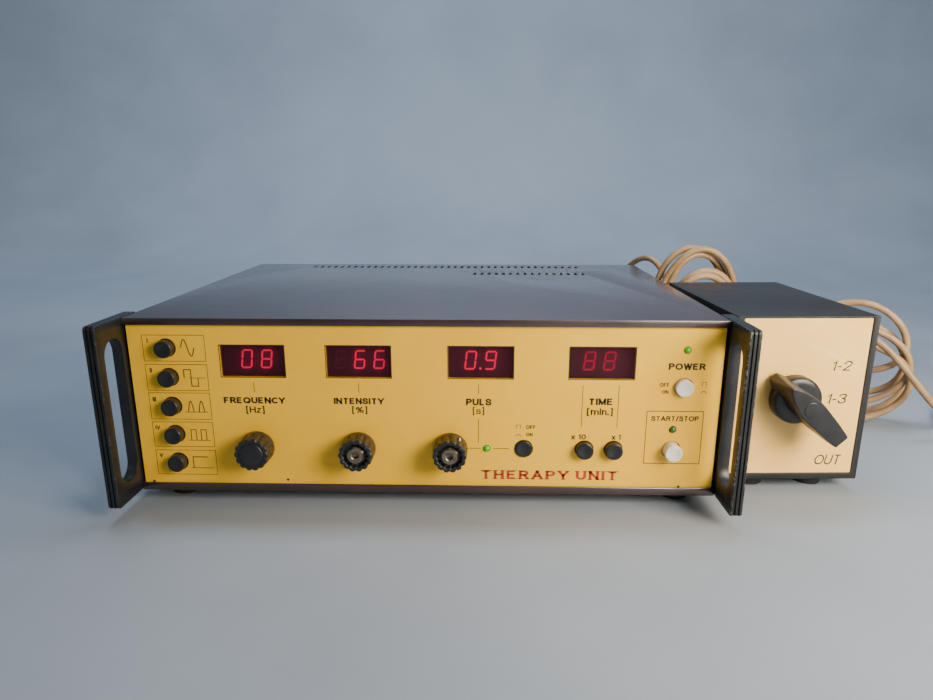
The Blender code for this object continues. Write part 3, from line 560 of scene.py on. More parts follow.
def letters(text, x, y, high, wide=None, stroke=0.25, italic=0.0, serif=False):
    """A line of lettering as a thin film centred at (x, y), with a height and width in mm.

    Each stroke is a strip along its centre line, and an upright one runs on by half its width at its ends.
    italic leans the strokes by that share of their height, and serif ends each upright one with a bar.
    """
    strips, pen = [], 0.0
    for character in text:
        if character == " ":
            pen += 0.42
            continue
        strokes = [np.asarray(route, float) for route in ALPHABET[character]]
        for route in strokes:
            first, last = route[0] - route[1], route[-1] - route[-2]
            grow = [stroke / 2 * d / np.linalg.norm(d) * (abs(d[1]) > abs(d[0])) for d in (first, last)]
            run_on = np.vstack([route[0] + grow[0], route[1:-1], route[-1] + grow[1]])
            strips.append(line(run_on + (pen, 0), stroke))
            ends = [end for end in (route[0], route[-1]) if serif and end[1] in (0, 1)]
            for end in ends:
                lift = (stroke / 2 - 0.05) * (1 if end[1] else -1)
                strips.append(line([end + (pen - 0.22, lift), end + (pen + 0.22, lift)], 0.1))
        pen += max(route[:, 0].max() for route in strokes) + stroke + (0.24 if serif else 0.08)
    points, faces = joined(strips)
    low, high_corner = points.min(0), points.max(0)
    size = high_corner - low
    scale = high / size[1]
    across = scale if wide is None else wide / size[0]
    points = (points - (low + high_corner) / 2) * (across, scale, 1.0)
    points[:, 0] += italic * points[:, 1]
    return points + (x, y, 0.02), faces


def line(points, width, closed=False):
    """A printed line: a strip of that width along the points, mitred at its corners, as a thin film."""
    route = np.asarray(points, float)
    if closed:
        before, after = np.roll(route, 1, 0), np.roll(route, -1, 0)
    else:
        before = np.vstack([2 * route[0] - route[1], route[:-1]])
        after = np.vstack([route[1:], 2 * route[-1] - route[-2]])
    a, b = route - before, after - route
    a /= np.linalg.norm(a, axis=1, keepdims=True)
    b /= np.linalg.norm(b, axis=1, keepdims=True)
    side_a, side_b = a[:, ::-1] * (-1, 1), b[:, ::-1] * (-1, 1)
    mitre = side_a + side_b
    mitre *= width / np.maximum((mitre * side_a).sum(1, keepdims=True), 0.4)
    left, right = route + mitre / 2, route - mitre / 2
    film = [(left, 0.05), (right, 0.05), (right, -0.01), (left, -0.01)]
    grid = np.stack([np.column_stack([flat, np.full(len(flat), z)]) for flat, z in film], 1)
    faces = grid_faces(len(route), 4, along=closed)
    if not closed:
        last = 4 * (len(route) - 1)
        faces += [[3, 2, 1, 0], [last, last + 1, last + 2, last + 3]]
    return grid.reshape(-1, 3), faces


def box_line(x0, y0, x1, y1, width):
    """A printed frame from its lowest to its highest corner."""
    return line([(x0, y0), (x1, y0), (x1, y1), (x0, y1)], width, closed=True)


def mode_icons():
    """The five waveforms beside their buttons: sine, split pulse, two humps, two pulses and a step."""
    t = np.linspace(0, 1, 28)
    dy = CASE_LIFT
    sine = np.stack([-174.6 + 9.6 * t, 121.1 + 6.2 * np.sin(TAU * t)], -1)
    hump = np.stack([4.2 * t, 8.4 * np.sin(math.pi * t)], -1)
    found = [line(sine, 0.7)]
    top, low, mid = 88.4 + dy, 75.9 + dy, 82.1 + dy
    split = [(-174.3, mid), (-174.3, top), (-169.3, top), (-169.3, low), (-164.3, low), (-164.3, mid)]
    found += [line(split, 0.65), line([(-170.6, mid), (-158.8, mid)], 0.4)]
    for x in (-173.9, -166.0):
        found.append(line(hump + (x, 56.0 + dy), 0.7))
    found.append(line([(-176.4, 55.9 + dy), (-159.4, 55.9 + dy)], 0.45))
    for x in (-173.8, -166.3):
        found.append(line([(x, 33.7 + dy), (x, 42 + dy), (x + 3.9, 42 + dy), (x + 3.9, 33.7 + dy)], 0.6))
    found.append(line([(-176.4, 33.7 + dy), (-159.6, 33.7 + dy)], 0.45))
    found.append(line([(-174.4, 11.5 + dy), (-174.4, 20.3 + dy), (-163.2, 20.3 + dy)], 0.65))
    found.append(line([(-176.4, 11.5 + dy), (-159.4, 11.5 + dy)], 0.4))
    return found


def push_symbol(x, y, size, out):
    """A button symbol: a cap that stands out of a line, or one level with it."""
    half = size / 2
    low, high = y - half, y + half
    if out:
        return line([(x - half, low), (x - half, high), (x + half, high), (x + half, low)], 0.35)
    points = [(x - size, low), (x - half, low), (x - half, low + half), (x + half, low + half)]
    return line([*points, (x + half, low), (x + size, low)], 0.35)


ALPHABET = grotesque()


def make_legends():
    """All the dark printing on the gold panel, and its red line."""
    ink = mode_icons()
    for low, high in ((94.7, 114.0), (72.5, 92.2), (50.3, 70.6), (28.6, 48.0), (6.2, 25.7)):
        ink.append(box_line(-202.0, low + CASE_LIFT, -157.0, high + CASE_LIFT, 0.35))
    numerals = zip(("I", "II", "III", "IV", "V"), (109.8, 87.8, 65.6, 43.5, 21.4))
    ink += [letters(text, -198.3, y + CASE_LIFT, 3.4, stroke=0.26) for text, y in numerals]
    ink += [
        letters("FREQUENCY", -124.2, 81.9, 5.2, 45.6, 0.3),
        letters("[Hz]", -124.2, 74.5, 6.4, 13.6, 0.2),
        letters("INTENSITY", -47.5, 81.9, 5.2, 37.1, 0.3),
        letters("[%]", -47.4, 75.0, 6.2, 11.2, 0.19),
        letters("PULS", 39.6, 81.9, 5.2, 18.7, 0.3),
        letters("[s]", 39.4, 75.0, 6.4, 8.4, 0.16),
        letters("TIME", 127.6, 83.0, 5.2, 16.4, 0.3),
        letters("[min.]", 127.3, 75.0, 6.4, 18.8, 0.19),
        letters("x 10", 112.7, 55.7, 4.5, 11.0, 0.24),
        letters("x 1", 140.1, 55.8, 4.5, 6.8, 0.24),
        letters("OFF", 77.6, 62.9, 3.0, 6.8, 0.28),
        letters("ON", 76.8, 57.1, 3.0, 5.0, 0.28),
        letters("POWER", 187.4, 109.6, 5.2, 26.4, 0.3),
        letters("OFF", 172.2, 95.9, 3.0, 6.8, 0.28),
        letters("ON", 173.2, 90.7, 3.0, 4.8, 0.28),
        letters("START/STOP", 181.6, 70.4, 4.4, 34.4, 0.25),
        push_symbol(68.7, 62.9, 3.0, True),
        push_symbol(68.7, 57.1, 2.4, False),
        push_symbol(200.6, 96.7, 3.0, True),
        push_symbol(200.6, 91.3, 2.4, False),
        box_line(161.3, 35.3, 201.9, 76.0, 0.5),
    ]
    for x in (-123.8, -47.4, 39.4):
        ink.append(line([(x, 95.4), (x, 88.3)], 0.45))
    ink.append(line([(39.4, 69.1), (39.4, 50.4)], 0.45))
    ink.append(line([(30.2, ROW_Y), (41.3, ROW_Y)], 0.45))
    ink.append(line([(50.2, ROW_Y), (62.0, ROW_Y)], 0.45))
    for x in (114.35, 140.2):
        ink.append(line([(x, 95.3), (x, 63.2)], 0.45))
    for x in WINDOW_X:
        half_x, half_y = WINDOW_WIDE / 2 + 0.3, WINDOW_HIGH / 2 + 0.3
        ink.append(box_line(x - half_x, WINDOW_Y - half_y, x + half_x, WINDOW_Y + half_y, 0.6))
    piece("panel_legends", joined(ink), "ink, dark olive", PANEL)
    title = letters("THERAPY UNIT", 92.1, 25.0, 7.6, 103.0, 0.26, serif=True)
    piece("panel_title", title, "ink, red", PANEL)


# ---------------------------------------------------------------- console


def make_panel():
    """The gold panel with round holes for the buttons, knobs and lamps, and four display windows."""
    outlines = [rectangle(212.6, 62.35, 0.8) + (0.0, MIDDLE_Y)]
    for x in WINDOW_X:
        outlines.append(rectangle(WINDOW_WIDE / 2, WINDOW_HIGH / 2, 0.4) + (x, WINDOW_Y))
    outlines += [circle(x, y, 7.0) for _, x, y, _ in BUTTONS]
    outlines += [circle(x, ROW_Y, 5.0) for x in KNOB_X]
    outlines += [circle(x, y, 2.8, 32) for _, x, y in LAMPS]
    plate = flat_plate(outlines, -2.5, 0.0)
    piece("panel_plate", plate, "anodised aluminium, gold", PANEL, "case", ("front_panel",))
    screw = lathe([(0, 0.4), (0.5, 0.4), (0.95, 0.15), (0.95, -0.3), (0, -0.3)], 20)
    for i, (x, y) in enumerate(((-103.8, 19.1), (-206.0, 16.9), (188.4, 16.9))):
        piece(f"panel_screw_{i + 1}", screw, "moulded ABS, black", PANEL, at=(x, y, 0))


def segment_outlines(height=14.4, width=8.3, bar=1.35, gap=0.12):
    """The seven bars of a digit, centred on it: a to f round it clockwise from the top, and g across."""
    half = bar / 2
    x, y = width / 2 - half, height / 2 - half

    def bar_between(x0, y0, x1, y1):
        a, b = np.array((x0, y0)), np.array((x1, y1))
        d = (b - a) / np.linalg.norm(b - a)
        s = np.array((-d[1], d[0])) * half
        a, b = a + d * gap, b - d * gap
        return np.array([a, a + d * half + s, b - d * half + s, b, b - d * half - s, a + d * half - s])

    return {
        "a": bar_between(-x, y, x, y),
        "b": bar_between(x, y, x, 0),
        "c": bar_between(x, 0, x, -y),
        "d": bar_between(x, -y, -x, -y),
        "e": bar_between(-x, -y, -x, 0),
        "f": bar_between(-x, 0, -x, y),
        "g": bar_between(-x, 0, x, 0),
    }


LIT_BARS = {"0": "abcdef", "6": "acdefg", "8": "abcdefg", "9": "abcdfg", " ": ""}
SLANT = 0.12
BAR_DEPTHS, DIGIT_FACE = (-6.9, -6.65), -6.92


def make_displays():
    """The digits behind each window: glowing bars, dark ones, and a face with a painted glow around what is
    lit.
    """
    readings = (
        (((-129.6, "0"), (-115.2, "8")), "lit segment"),
        (((-61.1, " "), (-46.9, "6"), (-32.7, "6")), "lit segment"),
        (((33.6, "0"), (48.0, "9")), "lit segment"),
        (((119.4, "8"), (133.8, "8")), "dim segment"),
    )
    bars = segment_outlines()
    for number, (digits, finish) in enumerate(readings, 1):
        lit, dark, sources = [], [], []
        for x, digit in digits:
            for label, outline in bars.items():
                slanted = outline + np.column_stack([outline[:, 1] * SLANT, np.zeros(6)]) + (x, WINDOW_Y)
                solid = closed_stack([np.column_stack([slanted, np.full(6, z)]) for z in BAR_DEPTHS])
                if label in LIT_BARS[digit]:
                    lit.append(solid)
                    sources.append(slanted.mean(0))
                else:
                    dark.append(solid)
        if number == 3:
            spot = circle(40.6, WINDOW_Y - 6.2, 0.95, 16)
            lit.append(closed_stack([np.column_stack([spot, np.full(16, z)]) for z in BAR_DEPTHS]))
        piece(f"display_bars_{number}", joined(lit), finish, PANEL)
        if dark:
            piece(f"display_dark_bars_{number}", joined(dark), "dark segment", PANEL)
        x = WINDOW_X[number - 1]
        rows, columns = 48, 94
        u = np.linspace(-WINDOW_WIDE / 2, WINDOW_WIDE / 2, columns)
        v = np.linspace(-WINDOW_HIGH / 2, WINDOW_HIGH / 2, rows)
        across, up = np.meshgrid(u + x, v + WINDOW_Y)
        # Painted glow on the face: soft falloffs summed round each lit bar, weaker for the dim digits.
        source_x, source_y = np.array(sources).T
        away = np.sqrt((across[..., None] - source_x) ** 2 + (up[..., None] - source_y) ** 2)
        bloom = np.exp(-((away / 2.6) ** 1.3)).sum(-1) * (1.0 if finish == "lit segment" else 0.6)
        front = np.stack([across, up, np.full(across.shape, DIGIT_FACE)], -1)
        back = front - (0, 0, 0.06)
        count = across.size
        quads = grid_faces(rows, columns, around=False)
        faces = quads + [[i + count for i in face[::-1]] for face in quads]
        index = np.arange(count).reshape(rows, columns)
        rim = np.concatenate([index[0], index[1:, -1], index[-1, -2::-1], index[-2:0:-1, 0]])
        after = np.roll(rim, -1)
        faces += np.stack([rim, after, after + count, rim + count], -1).tolist()
        points = np.concatenate([front.reshape(-1, 3), back.reshape(-1, 3)])
        painted_glow = np.concatenate([bloom.ravel(), bloom.ravel()])
        piece(f"display_face_{number}", (points, faces), "digit face", PANEL, marks={"painted_glow": painted_glow})
        edge = [(0.25, -2.9), (0, -2.65), (0, -0.65), (0.25, -0.4)]
        pane = slab(WINDOW_WIDE / 2 - 0.3, WINDOW_HIGH / 2 - 0.3, 0.5, edge, (x, WINDOW_Y))
        piece(f"display_pane_{number}", pane, "red filter", PANEL, "case", (f"display_window_{number}",))


def make_buttons():
    """Round caps with a softly rounded rim, each on its plunger."""
    for name, x, y, out in BUTTONS:
        finish = "moulded ABS, white" if name in ("power_button", "start_button") else "moulded ABS, black"
        dish = [(0, out - 0.5), (2.6, out - 0.4), (4.6, out), (6.35, out - 0.15)]
        cap = rounded([*dish, (6.35, -3.5), (2.0, -3.5), (2.0, -16.0), (0, -16.0)], 1.0, 6)
        piece(f"{name}_cap", lathe(cap, 56), finish, PANEL, name, (name,), at=(x, y, 0))


def make_knobs():
    """Collet knobs: a plain barrel with a scalloped front. The first has its cap, the others show the nut."""

    def scallops(height, angle):
        deep = 0.09 * np.clip((height - 5.5) / 3.5, 0, 1) * (height > 1.0)
        return 1 - deep * np.abs(np.sin(7 * angle)) ** 4

    for i, x in enumerate(KNOB_X):
        name = f"knob_{i + 1}"
        at = (x, ROW_Y, 0)
        low = [(0, 1.0), (12.6, 1.0), (12.6, 5.2), (12.5, 9.5), (12.3, 17.0), (9.3, 17.0)]
        mouth = [(8.6, 13.0), (0, 13.0)] if i else [(8.4, 16.2), (0, 16.2)]
        shell = rounded([*low, *mouth], 0.9, 6)
        piece(f"{name}_shell", lathe(shell, 196, scallops), "moulded ABS, black", PANEL, name, (name,), at=at)
        shaft = lathe([(0, 2.0), (3.0, 2.0), (3.0, -16.0), (0, -16.0)], 32)
        piece(f"{name}_shaft", shaft, "nickel plate", PANEL, name, at=at)
        if i == 0:
            cap = rounded([(0, 17.9), (8.6, 17.5), (9.1, 16.0), (0, 16.0)], 0.8, 5)
            piece(f"{name}_cap", lathe(cap, 64), "moulded ABS, black", PANEL, name, at=at)
            continue
        nut = [(0, 12.8), (6.6, 12.8), (6.6, 15.6), (5.6, 16.8), (3.1, 16.8), (2.6, 16.3)]
        nut += [(2.6, 13.4), (0, 13.4)]
        hexagon = lathe(nut, 60, lambda height, angle: 1 - 0.07 * np.abs(np.cos(3 * angle)) * (height < 16.4))
        piece(f"{name}_nut", hexagon, "tarnished bronze", PANEL, name, at=at)
    mark = slab(0.45, 3.0, 0.3, [(0.1, 0.0), (0, 0.1), (0, 0.3)], (0, 0))
    lean = PANEL @ Matrix.Translation((KNOB_X[2], ROW_Y, 0)) @ Matrix.Rotation(math.radians(-35), 4, "Z")
    place = lean @ Matrix.Translation((0, 12.45, 8.8)) @ Matrix.Rotation(math.radians(-90), 4, "X")
    piece("knob_3_mark", mark, "paint, white", place, "knob_3")


def make_lamps():
    """Round-topped lamps with a flange behind the panel: a quarter ellipse turned about its axis."""
    for name, x, y in LAMPS:
        dome = [(2.5 * math.sin(a), -0.6 + 2.7 * math.cos(a)) for a in np.linspace(0, math.pi / 2, 10)]
        dome += [(2.5, -4.0), (3.1, -4.0), (3.1, -5.2), (0, -5.2)]
        finish = "green lamp, dark" if name == "start_lamp" else "green lamp, lit"
        piece(f"{name}_dome", lathe(dome, 40), finish, PANEL, "case", (name,), at=(x, y, 0))


def make_handles():
    """Plates with a round-ended finger slot. The outer rim carries two grooves along its front edge."""
    half_y, half_z, centre = 27.9, 66.55, (-6.8, MIDDLE_Y)
    slot_y, slot_z, slot_centre = 11.5, 53.3, (-15.0, 77.7)
    steps = 9
    for side, low, high in (("left", -222.9, -214.7), ("right", 214.7, 222.9)):
        middle, half = (low + high) / 2, (high - low) / 2
        t = np.array([-1, -0.95, -0.86, -0.47, -0.45, -0.22, -0.2, 0.2, 0.22, 0.45, 0.47, 0.86, 0.95, 1])
        inset = np.array([0.7, 0.22, 0, 0, 1.2, 1.2, 0, 0, 1.2, 1.2, 0, 0, 0.22, 0.7])
        rings, wear = [], []
        for share, cut in zip(t, inset):
            edge = abs(share) > 0.8
            outline = rectangle(half_y, half_z, 3.2, steps) + centre
            front = np.clip((-33.0 - outline[:, 0]) / 1.5 + 1, 0, 1)[:, None]
            shrunk = rectangle(half_y - cut, half_z - cut, max(3.2 - cut, 0.6), steps) + centre
            ring = shrunk if edge else outline * (1 - front) + (outline + (cut, 0)) * front
            rings.append(np.column_stack([ring, np.full(len(ring), middle + share * half)]))
            wear.append(np.where(np.abs(ring[:, 1] - MIDDLE_Y) > 60, 1.15, 0.95) * (1.0 if edge else 0.55))
        for share, cut in ((1, -0.7), (0.95, -0.2), (0.85, 0), (-0.85, 0), (-0.95, -0.2), (-1, -0.7)):
            ring = rectangle(slot_y - cut, slot_z - cut, 11.5 - cut - 0.01, steps) + slot_centre
            rings.append(np.column_stack([ring, np.full(len(ring), middle + share * half)]))
            wear.append(np.full(len(ring), 0.6))
        grid = np.array(rings)
        shape = (grid.reshape(-1, 3), grid_faces(*grid.shape[:2], along=True))
        worn = np.concatenate(wear) * (1.0 if side == "right" else 0.88)
        node = f"{side}_handle"
        place = CONSOLE @ TO_SIDE
        piece(f"{node}_plate", shape, "chipped black paint", place, "case", (node,), 28, marks={"wear": worn})


def make_feet():
    """Turned rubber feet with a rounded rim and a recess for the screw."""
    corners = ("front_left", "front_right", "rear_left", "rear_right")
    spots = [(x, y) for y in (23.3, 283.0) for x in (-191.5, 191.5)]
    foot = rounded([(0, 9.9), (12.3, 9.9), (11.1, 0.0), (4.0, 0.0), (3.6, 3.0), (0, 3.0)], 1.0, 5)
    for corner, (x, y) in zip(corners, spots):
        node = f"console_foot_{corner}"
        piece(f"{node}_pad", lathe(foot, 48), "rubber, black", CONSOLE, "case", (node,), at=(x, y, 0))
    spots = [(x, y) for y in (19.0, 147.0) for x in (-24.0, 24.0)]
    foot = rounded([(0, 9.3), (11.7, 9.3), (10.6, 0.0), (4.0, 0.0), (3.6, 3.0), (0, 3.0)], 1.0, 5)
    for corner, (x, y) in zip(corners, spots):
        node = f"selector_foot_{corner}"
        piece(f"{node}_pad", lathe(foot, 48), "rubber, black", SELECTOR, "case", (node,), at=(x, y, 0))


def relief_shape():
    """A tapered strain relief with rings around it, from the wall's face at height 0."""
    height = np.linspace(7.0, RELIEF_LENGTH, 60)
    radius = 6.2 - 1.9 * (height - 7.0) / (RELIEF_LENGTH - 7.0)
    radius -= 0.55 * (np.sin((height - 7.0) * TAU / 4.3) > 0.1)
    taper = np.column_stack([radius, height])[::-1]
    return [(0, RELIEF_LENGTH), *taper.tolist(), (8.0, 6.0), (8.0, 0.3), (5.2, 0.3), (5.2, -8.0), (0, -8.0)]


def make_rear():
    """Strain reliefs, the fuse holder and the screws that hold the rear panel."""
    relief = lathe(relief_shape(), 40)
    for name, place, (x, z), y in (
        ("mains_strain_relief", CONSOLE, MAINS_EXIT, REAR_FACE),
        ("output_gland", CONSOLE, LINK_EXIT, REAR_FACE),
        ("selector_gland", SELECTOR, BOX_EXIT, BOX_DEEP),
    ):
        spot = place @ Matrix.Translation((x, y, z)) @ TO_BACK
        piece(f"{name}_sleeve", relief, "moulded ABS, black", spot, "case", (name,), 50)
    holder = [(0, 12.0), (6.2, 12.0), (7.4, 10.5), (7.4, 0.3), (5.2, 0.3), (5.2, -22.0), (0, -22.0)]
    holder = rounded(holder, 0.5, 3)
    spot = CONSOLE @ Matrix.Translation((85.0, REAR_FACE, 40.0)) @ TO_BACK
    piece("fuse_holder_body", lathe(holder, 48), "moulded ABS, black", spot, "case", ("fuse_holder",))
    head = lathe(rounded([(0, 1.7), (2.2, 1.7), (3.0, 0.3), (3.0, 0.0), (0, 0.0)], 0.5, 4), 32)
    places = [(x, z) for x in (-205.0, -70.0, 70.0, 205.0) for z in (24.0, 131.0)]
    for i, (x, z) in enumerate(places):
        spot = CONSOLE @ Matrix.Translation((x, REAR_FACE, z)) @ TO_BACK
        piece(f"rear_screw_{i + 1}", head, "nickel plate", spot)


def make_case():
    """Sheet-steel covers and frames, from the CAD shapes with folded edges."""
    for node, name, width in (
        ("top_cover", "top_cover_sheet", 0.9),
        ("bottom_cover", "bottom_cover_sheet", 0.9),
        ("left_side_frame", "left_side_sheet", 0.4),
        ("right_side_frame", "right_side_sheet", 0.4),
    ):
        softened(node, name, width, "stove enamel, brown")
    softened("rear_panel", "rear_panel_sheet", 0.4, "zinc plate")


def make_insides():
    """Finishes for the CAD nodes that stay as they are, inside the cases."""
    inside = {
        "display_board": "circuit board",
        "main_board": "circuit board",
        "button_board": "circuit board",
        "mode_switch_bank": "zinc plate",
        "power_switch": "zinc plate",
        "potentiometer_bracket": "zinc plate",
        "mains_transformer": "transformer steel",
        "cam_switch": "moulded ABS, black",
    }
    for node, finish in inside.items():
        mesh = frame["nodes"][node].data
        mesh.materials.clear()
        mesh.materials.append(FINISH[finish])


# ---------------------------------------------------------------- selector box


def make_selector_box():
    """The housing, its cream panel, the printed positions and an old scratch."""
    softened("selector_housing", "selector_case_sheet", 0.45, "textured powder coat, charcoal")
    hole = circle(AXIS_X, AXIS_Y, 6.0)
    outline = rectangle(48.0, 62.0, 0.8) + (0.0, 76.6)
    plate = flat_plate([outline, hole], -2.0, 0.0)
    piece("selector_plate", plate, "semi-matt paint, cream", BOX_FACE, "case", ("selector_panel",))
    ink = [
        letters("1-2", 29.5, 102.0, 8.3, 15.0, 0.14, 0.18),
        letters("1-3", 29.2, 76.0, 8.3, 15.0, 0.14, 0.18),
        letters("OUT", 28.7, 25.5, 8.3, 20.0, 0.14, 0.18),
    ]
    piece("selector_legends", joined(ink), "ink, black", BOX_FACE)
    t = np.linspace(0, 1, 20)[:, None]
    a, b, c = np.array((0.0, 121.6)), np.array((29.0, 106.2)), np.array((46.0, 98.3))
    bend = a * (1 - t) ** 2 + 2 * b * t * (1 - t) + c * t**2
    piece("selector_scratch", line(bend, 0.28), "scratched paint", BOX_FACE)


def make_selector_handle():
    """A round skirt, a lever with a flat top and a sharp tail that drops to the skirt, and a cap.

    Each section of the lever goes up one flank, over the rounded top edge and down the other. The flanks
    spread towards the base, the tail leans back, and the nose is undercut.
    """
    place = BOX_FACE @ Matrix.Translation((AXIS_X, AXIS_Y, 0)) @ Matrix.Rotation(math.radians(-45), 4, "Z")
    skirt = [(0, 12.4), (15.0, 12.0), (18.4, 10.4), (18.4, 0.6), (4.2, 0.6), (4.2, -32.0), (0, -32.0)]
    shape = lathe(rounded(skirt, 2.2, 7), 72)
    piece("selector_skirt", shape, "moulded ABS, black", place, "selector_handle", ("selector_handle",))
    along = np.array([-22.6, -21.8, -20, -16, -13, -5, -1, 6, 17, 24, 29, 33.6, 35.2])
    wide = np.array([0.5, 1.4, 2.6, 4.6, 5.7, 7.8, 8.5, 8.6, 7.8, 7.3, 6.7, 6.1, 5.5])
    flare = np.array([2.2, 2.4, 2.2, 1.9, 1.5, 0.8, 0.6, 0.5, 0.5, 0.4, 0.3, 0.2, 0.2])
    base = np.array([3.0, 3, 3, 3, 3, 3, 3, 3, 5, 11.5, 17.0, 21.4, 22.4])
    lean = np.array([2.8, 2.6, 2.3, 1.6, 0.9, 0, 0, 0, 0, 0, 0, 0, 0])
    rows = np.linspace(0, len(along) - 1, 73)
    columns = (along, wide, flare, base, lean)
    u, w, f, g, back = (np.interp(rows, np.arange(len(along)), v)[:, None] for v in columns)
    top = 31.0
    edge = np.minimum(0.9, w * 0.8)
    turn = np.linspace(0, math.pi / 2, 5)[None, :]
    share = np.array([0, 0.3, 0.7])[None, :]
    height = np.concatenate([g + (top - 1.0 - g) * share, top - edge * (1 - np.sin(turn))], 1)
    low_share = 1 - (height - g) / (top - g)
    flank = np.concatenate([w + 0 * share, w - edge * (1 - np.cos(turn))], 1) + f * low_share**1.5
    run = u - back * low_share
    x = np.concatenate([flank, -flank[:, ::-1]], 1)
    z = np.concatenate([height, height[:, ::-1]], 1)
    rings = np.stack([np.concatenate([run, run[:, ::-1]], 1), x, z], -1)
    piece("selector_lever", closed_stack(rings), "moulded ABS, black", place, "selector_handle", crease=40)
    cap = lathe(rounded([(0, 31.3), (5.6, 31.3), (6.0, 30.8), (6.0, 29.0), (0, 29.0)], 0.3, 4), 48)
    piece("selector_cap", cap, "moulded ABS, black", place, "selector_handle")


# ---------------------------------------------------------------- leads


def hank_frame(size):
    """Where a hank's own frame stands: X along it, Y up it and Z to its front face."""
    stand = Matrix.Rotation(math.radians(size["turn"]), 4, "Z")
    lean = Matrix.Rotation(math.radians(size["lean"]), 4, "X")
    lift = size["thick"] / 2 * math.sin(math.radians(size["lean"])) + 0.3
    return Matrix.Translation((*size["at"], lift)) @ stand @ lean @ TO_FRONT, lift


def in_hank(size, points):
    """Points of a hank's own frame (along, up, out) in the console frame."""
    place, _ = hank_frame(size)
    points = np.atleast_2d(np.asarray(points, float))
    return points @ np.array(place.to_3x3()).T + np.array(place.translation)


def hank_turns(size, first, count, shape, depths, wave, square):
    """Loops of a standing hank, clockwise from the front: crumpled superellipses that rest on the table.

    shape has one row a loop: half width, height, sideways shift, how far the top leans to the right, how
    much lower the right side is, and how high its low run lies. A point is at shift + half * c +
    lean * (2 r - 1) along the hank, and r of the way up from the low run to the top, less slope * c * r,
    where c and r come from the angle's cosine and sine to the power square, which below 1 makes a loop
    boxier. A slow wave crumples each loop.
    """
    _, lift = hank_frame(size)
    angle = first - np.linspace(0, TAU * count, round(30 * count))
    turn = (first - angle) / TAU
    stations = np.arange(len(shape)) + 0.27
    *columns, lows = zip(*shape)
    half, top, shift, lean_right, slope = (np.interp(turn, stations, column) for column in columns)
    low = np.interp(turn, stations + 0.46, lows)
    depth = np.interp(turn, np.linspace(0, count, len(depths)), depths)
    c, s = np.cos(angle), np.sin(angle)
    across = np.sign(c) * np.abs(c) ** square
    rise = (1 + np.sign(s) * np.abs(s) ** square) / 2
    crumple = wave * np.sin(2.4 * angle + 0.9 * turn) * np.sin(math.pi * np.clip(rise, 0, 1))
    tilt = math.radians(size["lean"])
    floor = (CORD / 2 + 0.15 - lift + depth * math.sin(tilt)) / math.cos(tilt)
    along = shift + half * across + lean_right * (2 * rise - 1) + crumple
    up = floor + low + (top - low - floor) * rise - slope * across * rise
    return in_hank(size, np.column_stack([along, up, depth + 0.12 * crumple]))


def eased(route, reach=5):
    """A route with its kinks eased: each point becomes a bell-shaped average of its neighbours, twice.

    The route is first carried on past each end by its own half-turn image, so the ends stay where they are.
    """
    bell = np.hanning(2 * reach + 3)[1:-1]
    bell /= bell.sum()
    for _ in range(2):
        before = 2 * route[0] - route[reach:0:-1]
        after = 2 * route[-1] - route[-2 : -reach - 2 : -1]
        longer = np.vstack([before, route, after])
        route = np.stack([np.convolve(axis, bell, "valid") for axis in longer.T], -1)
    return route


def tube(route, radius, sides=14):
    """A circle carried along a route. Its frame turns with the route and never rolls about it."""
    ahead = np.gradient(route, axis=0)
    ahead /= np.linalg.norm(ahead, axis=1, keepdims=True)
    side = np.zeros_like(route)
    last = np.cross(ahead[0], (0.0, 0.0, 1.0))
    for i, direction in enumerate(ahead):
        last = last - direction * (last @ direction)
        last /= np.linalg.norm(last)
        side[i] = last
    over = np.cross(ahead, side)
    angle = np.arange(sides) * TAU / sides
    ring = side[:, None] * np.cos(angle)[:, None] + over[:, None] * np.sin(angle)[:, None]
    return closed_stack(route[:, None] + radius * ring)


def world(points):
    """Console millimetres as metres in the row's frame."""
    return (np.asarray(points, float) + np.array(CONSOLE.translation)) * 0.001


def make_lead(name, route, stands_for):
    """A free lead along a route, as a tube of the cord's thickness."""
    even = eased(smooth_route(route))
    made = piece(name, tube(even, CORD / 2), "soft PVC, beige", CONSOLE, "case", stands_for, 60)


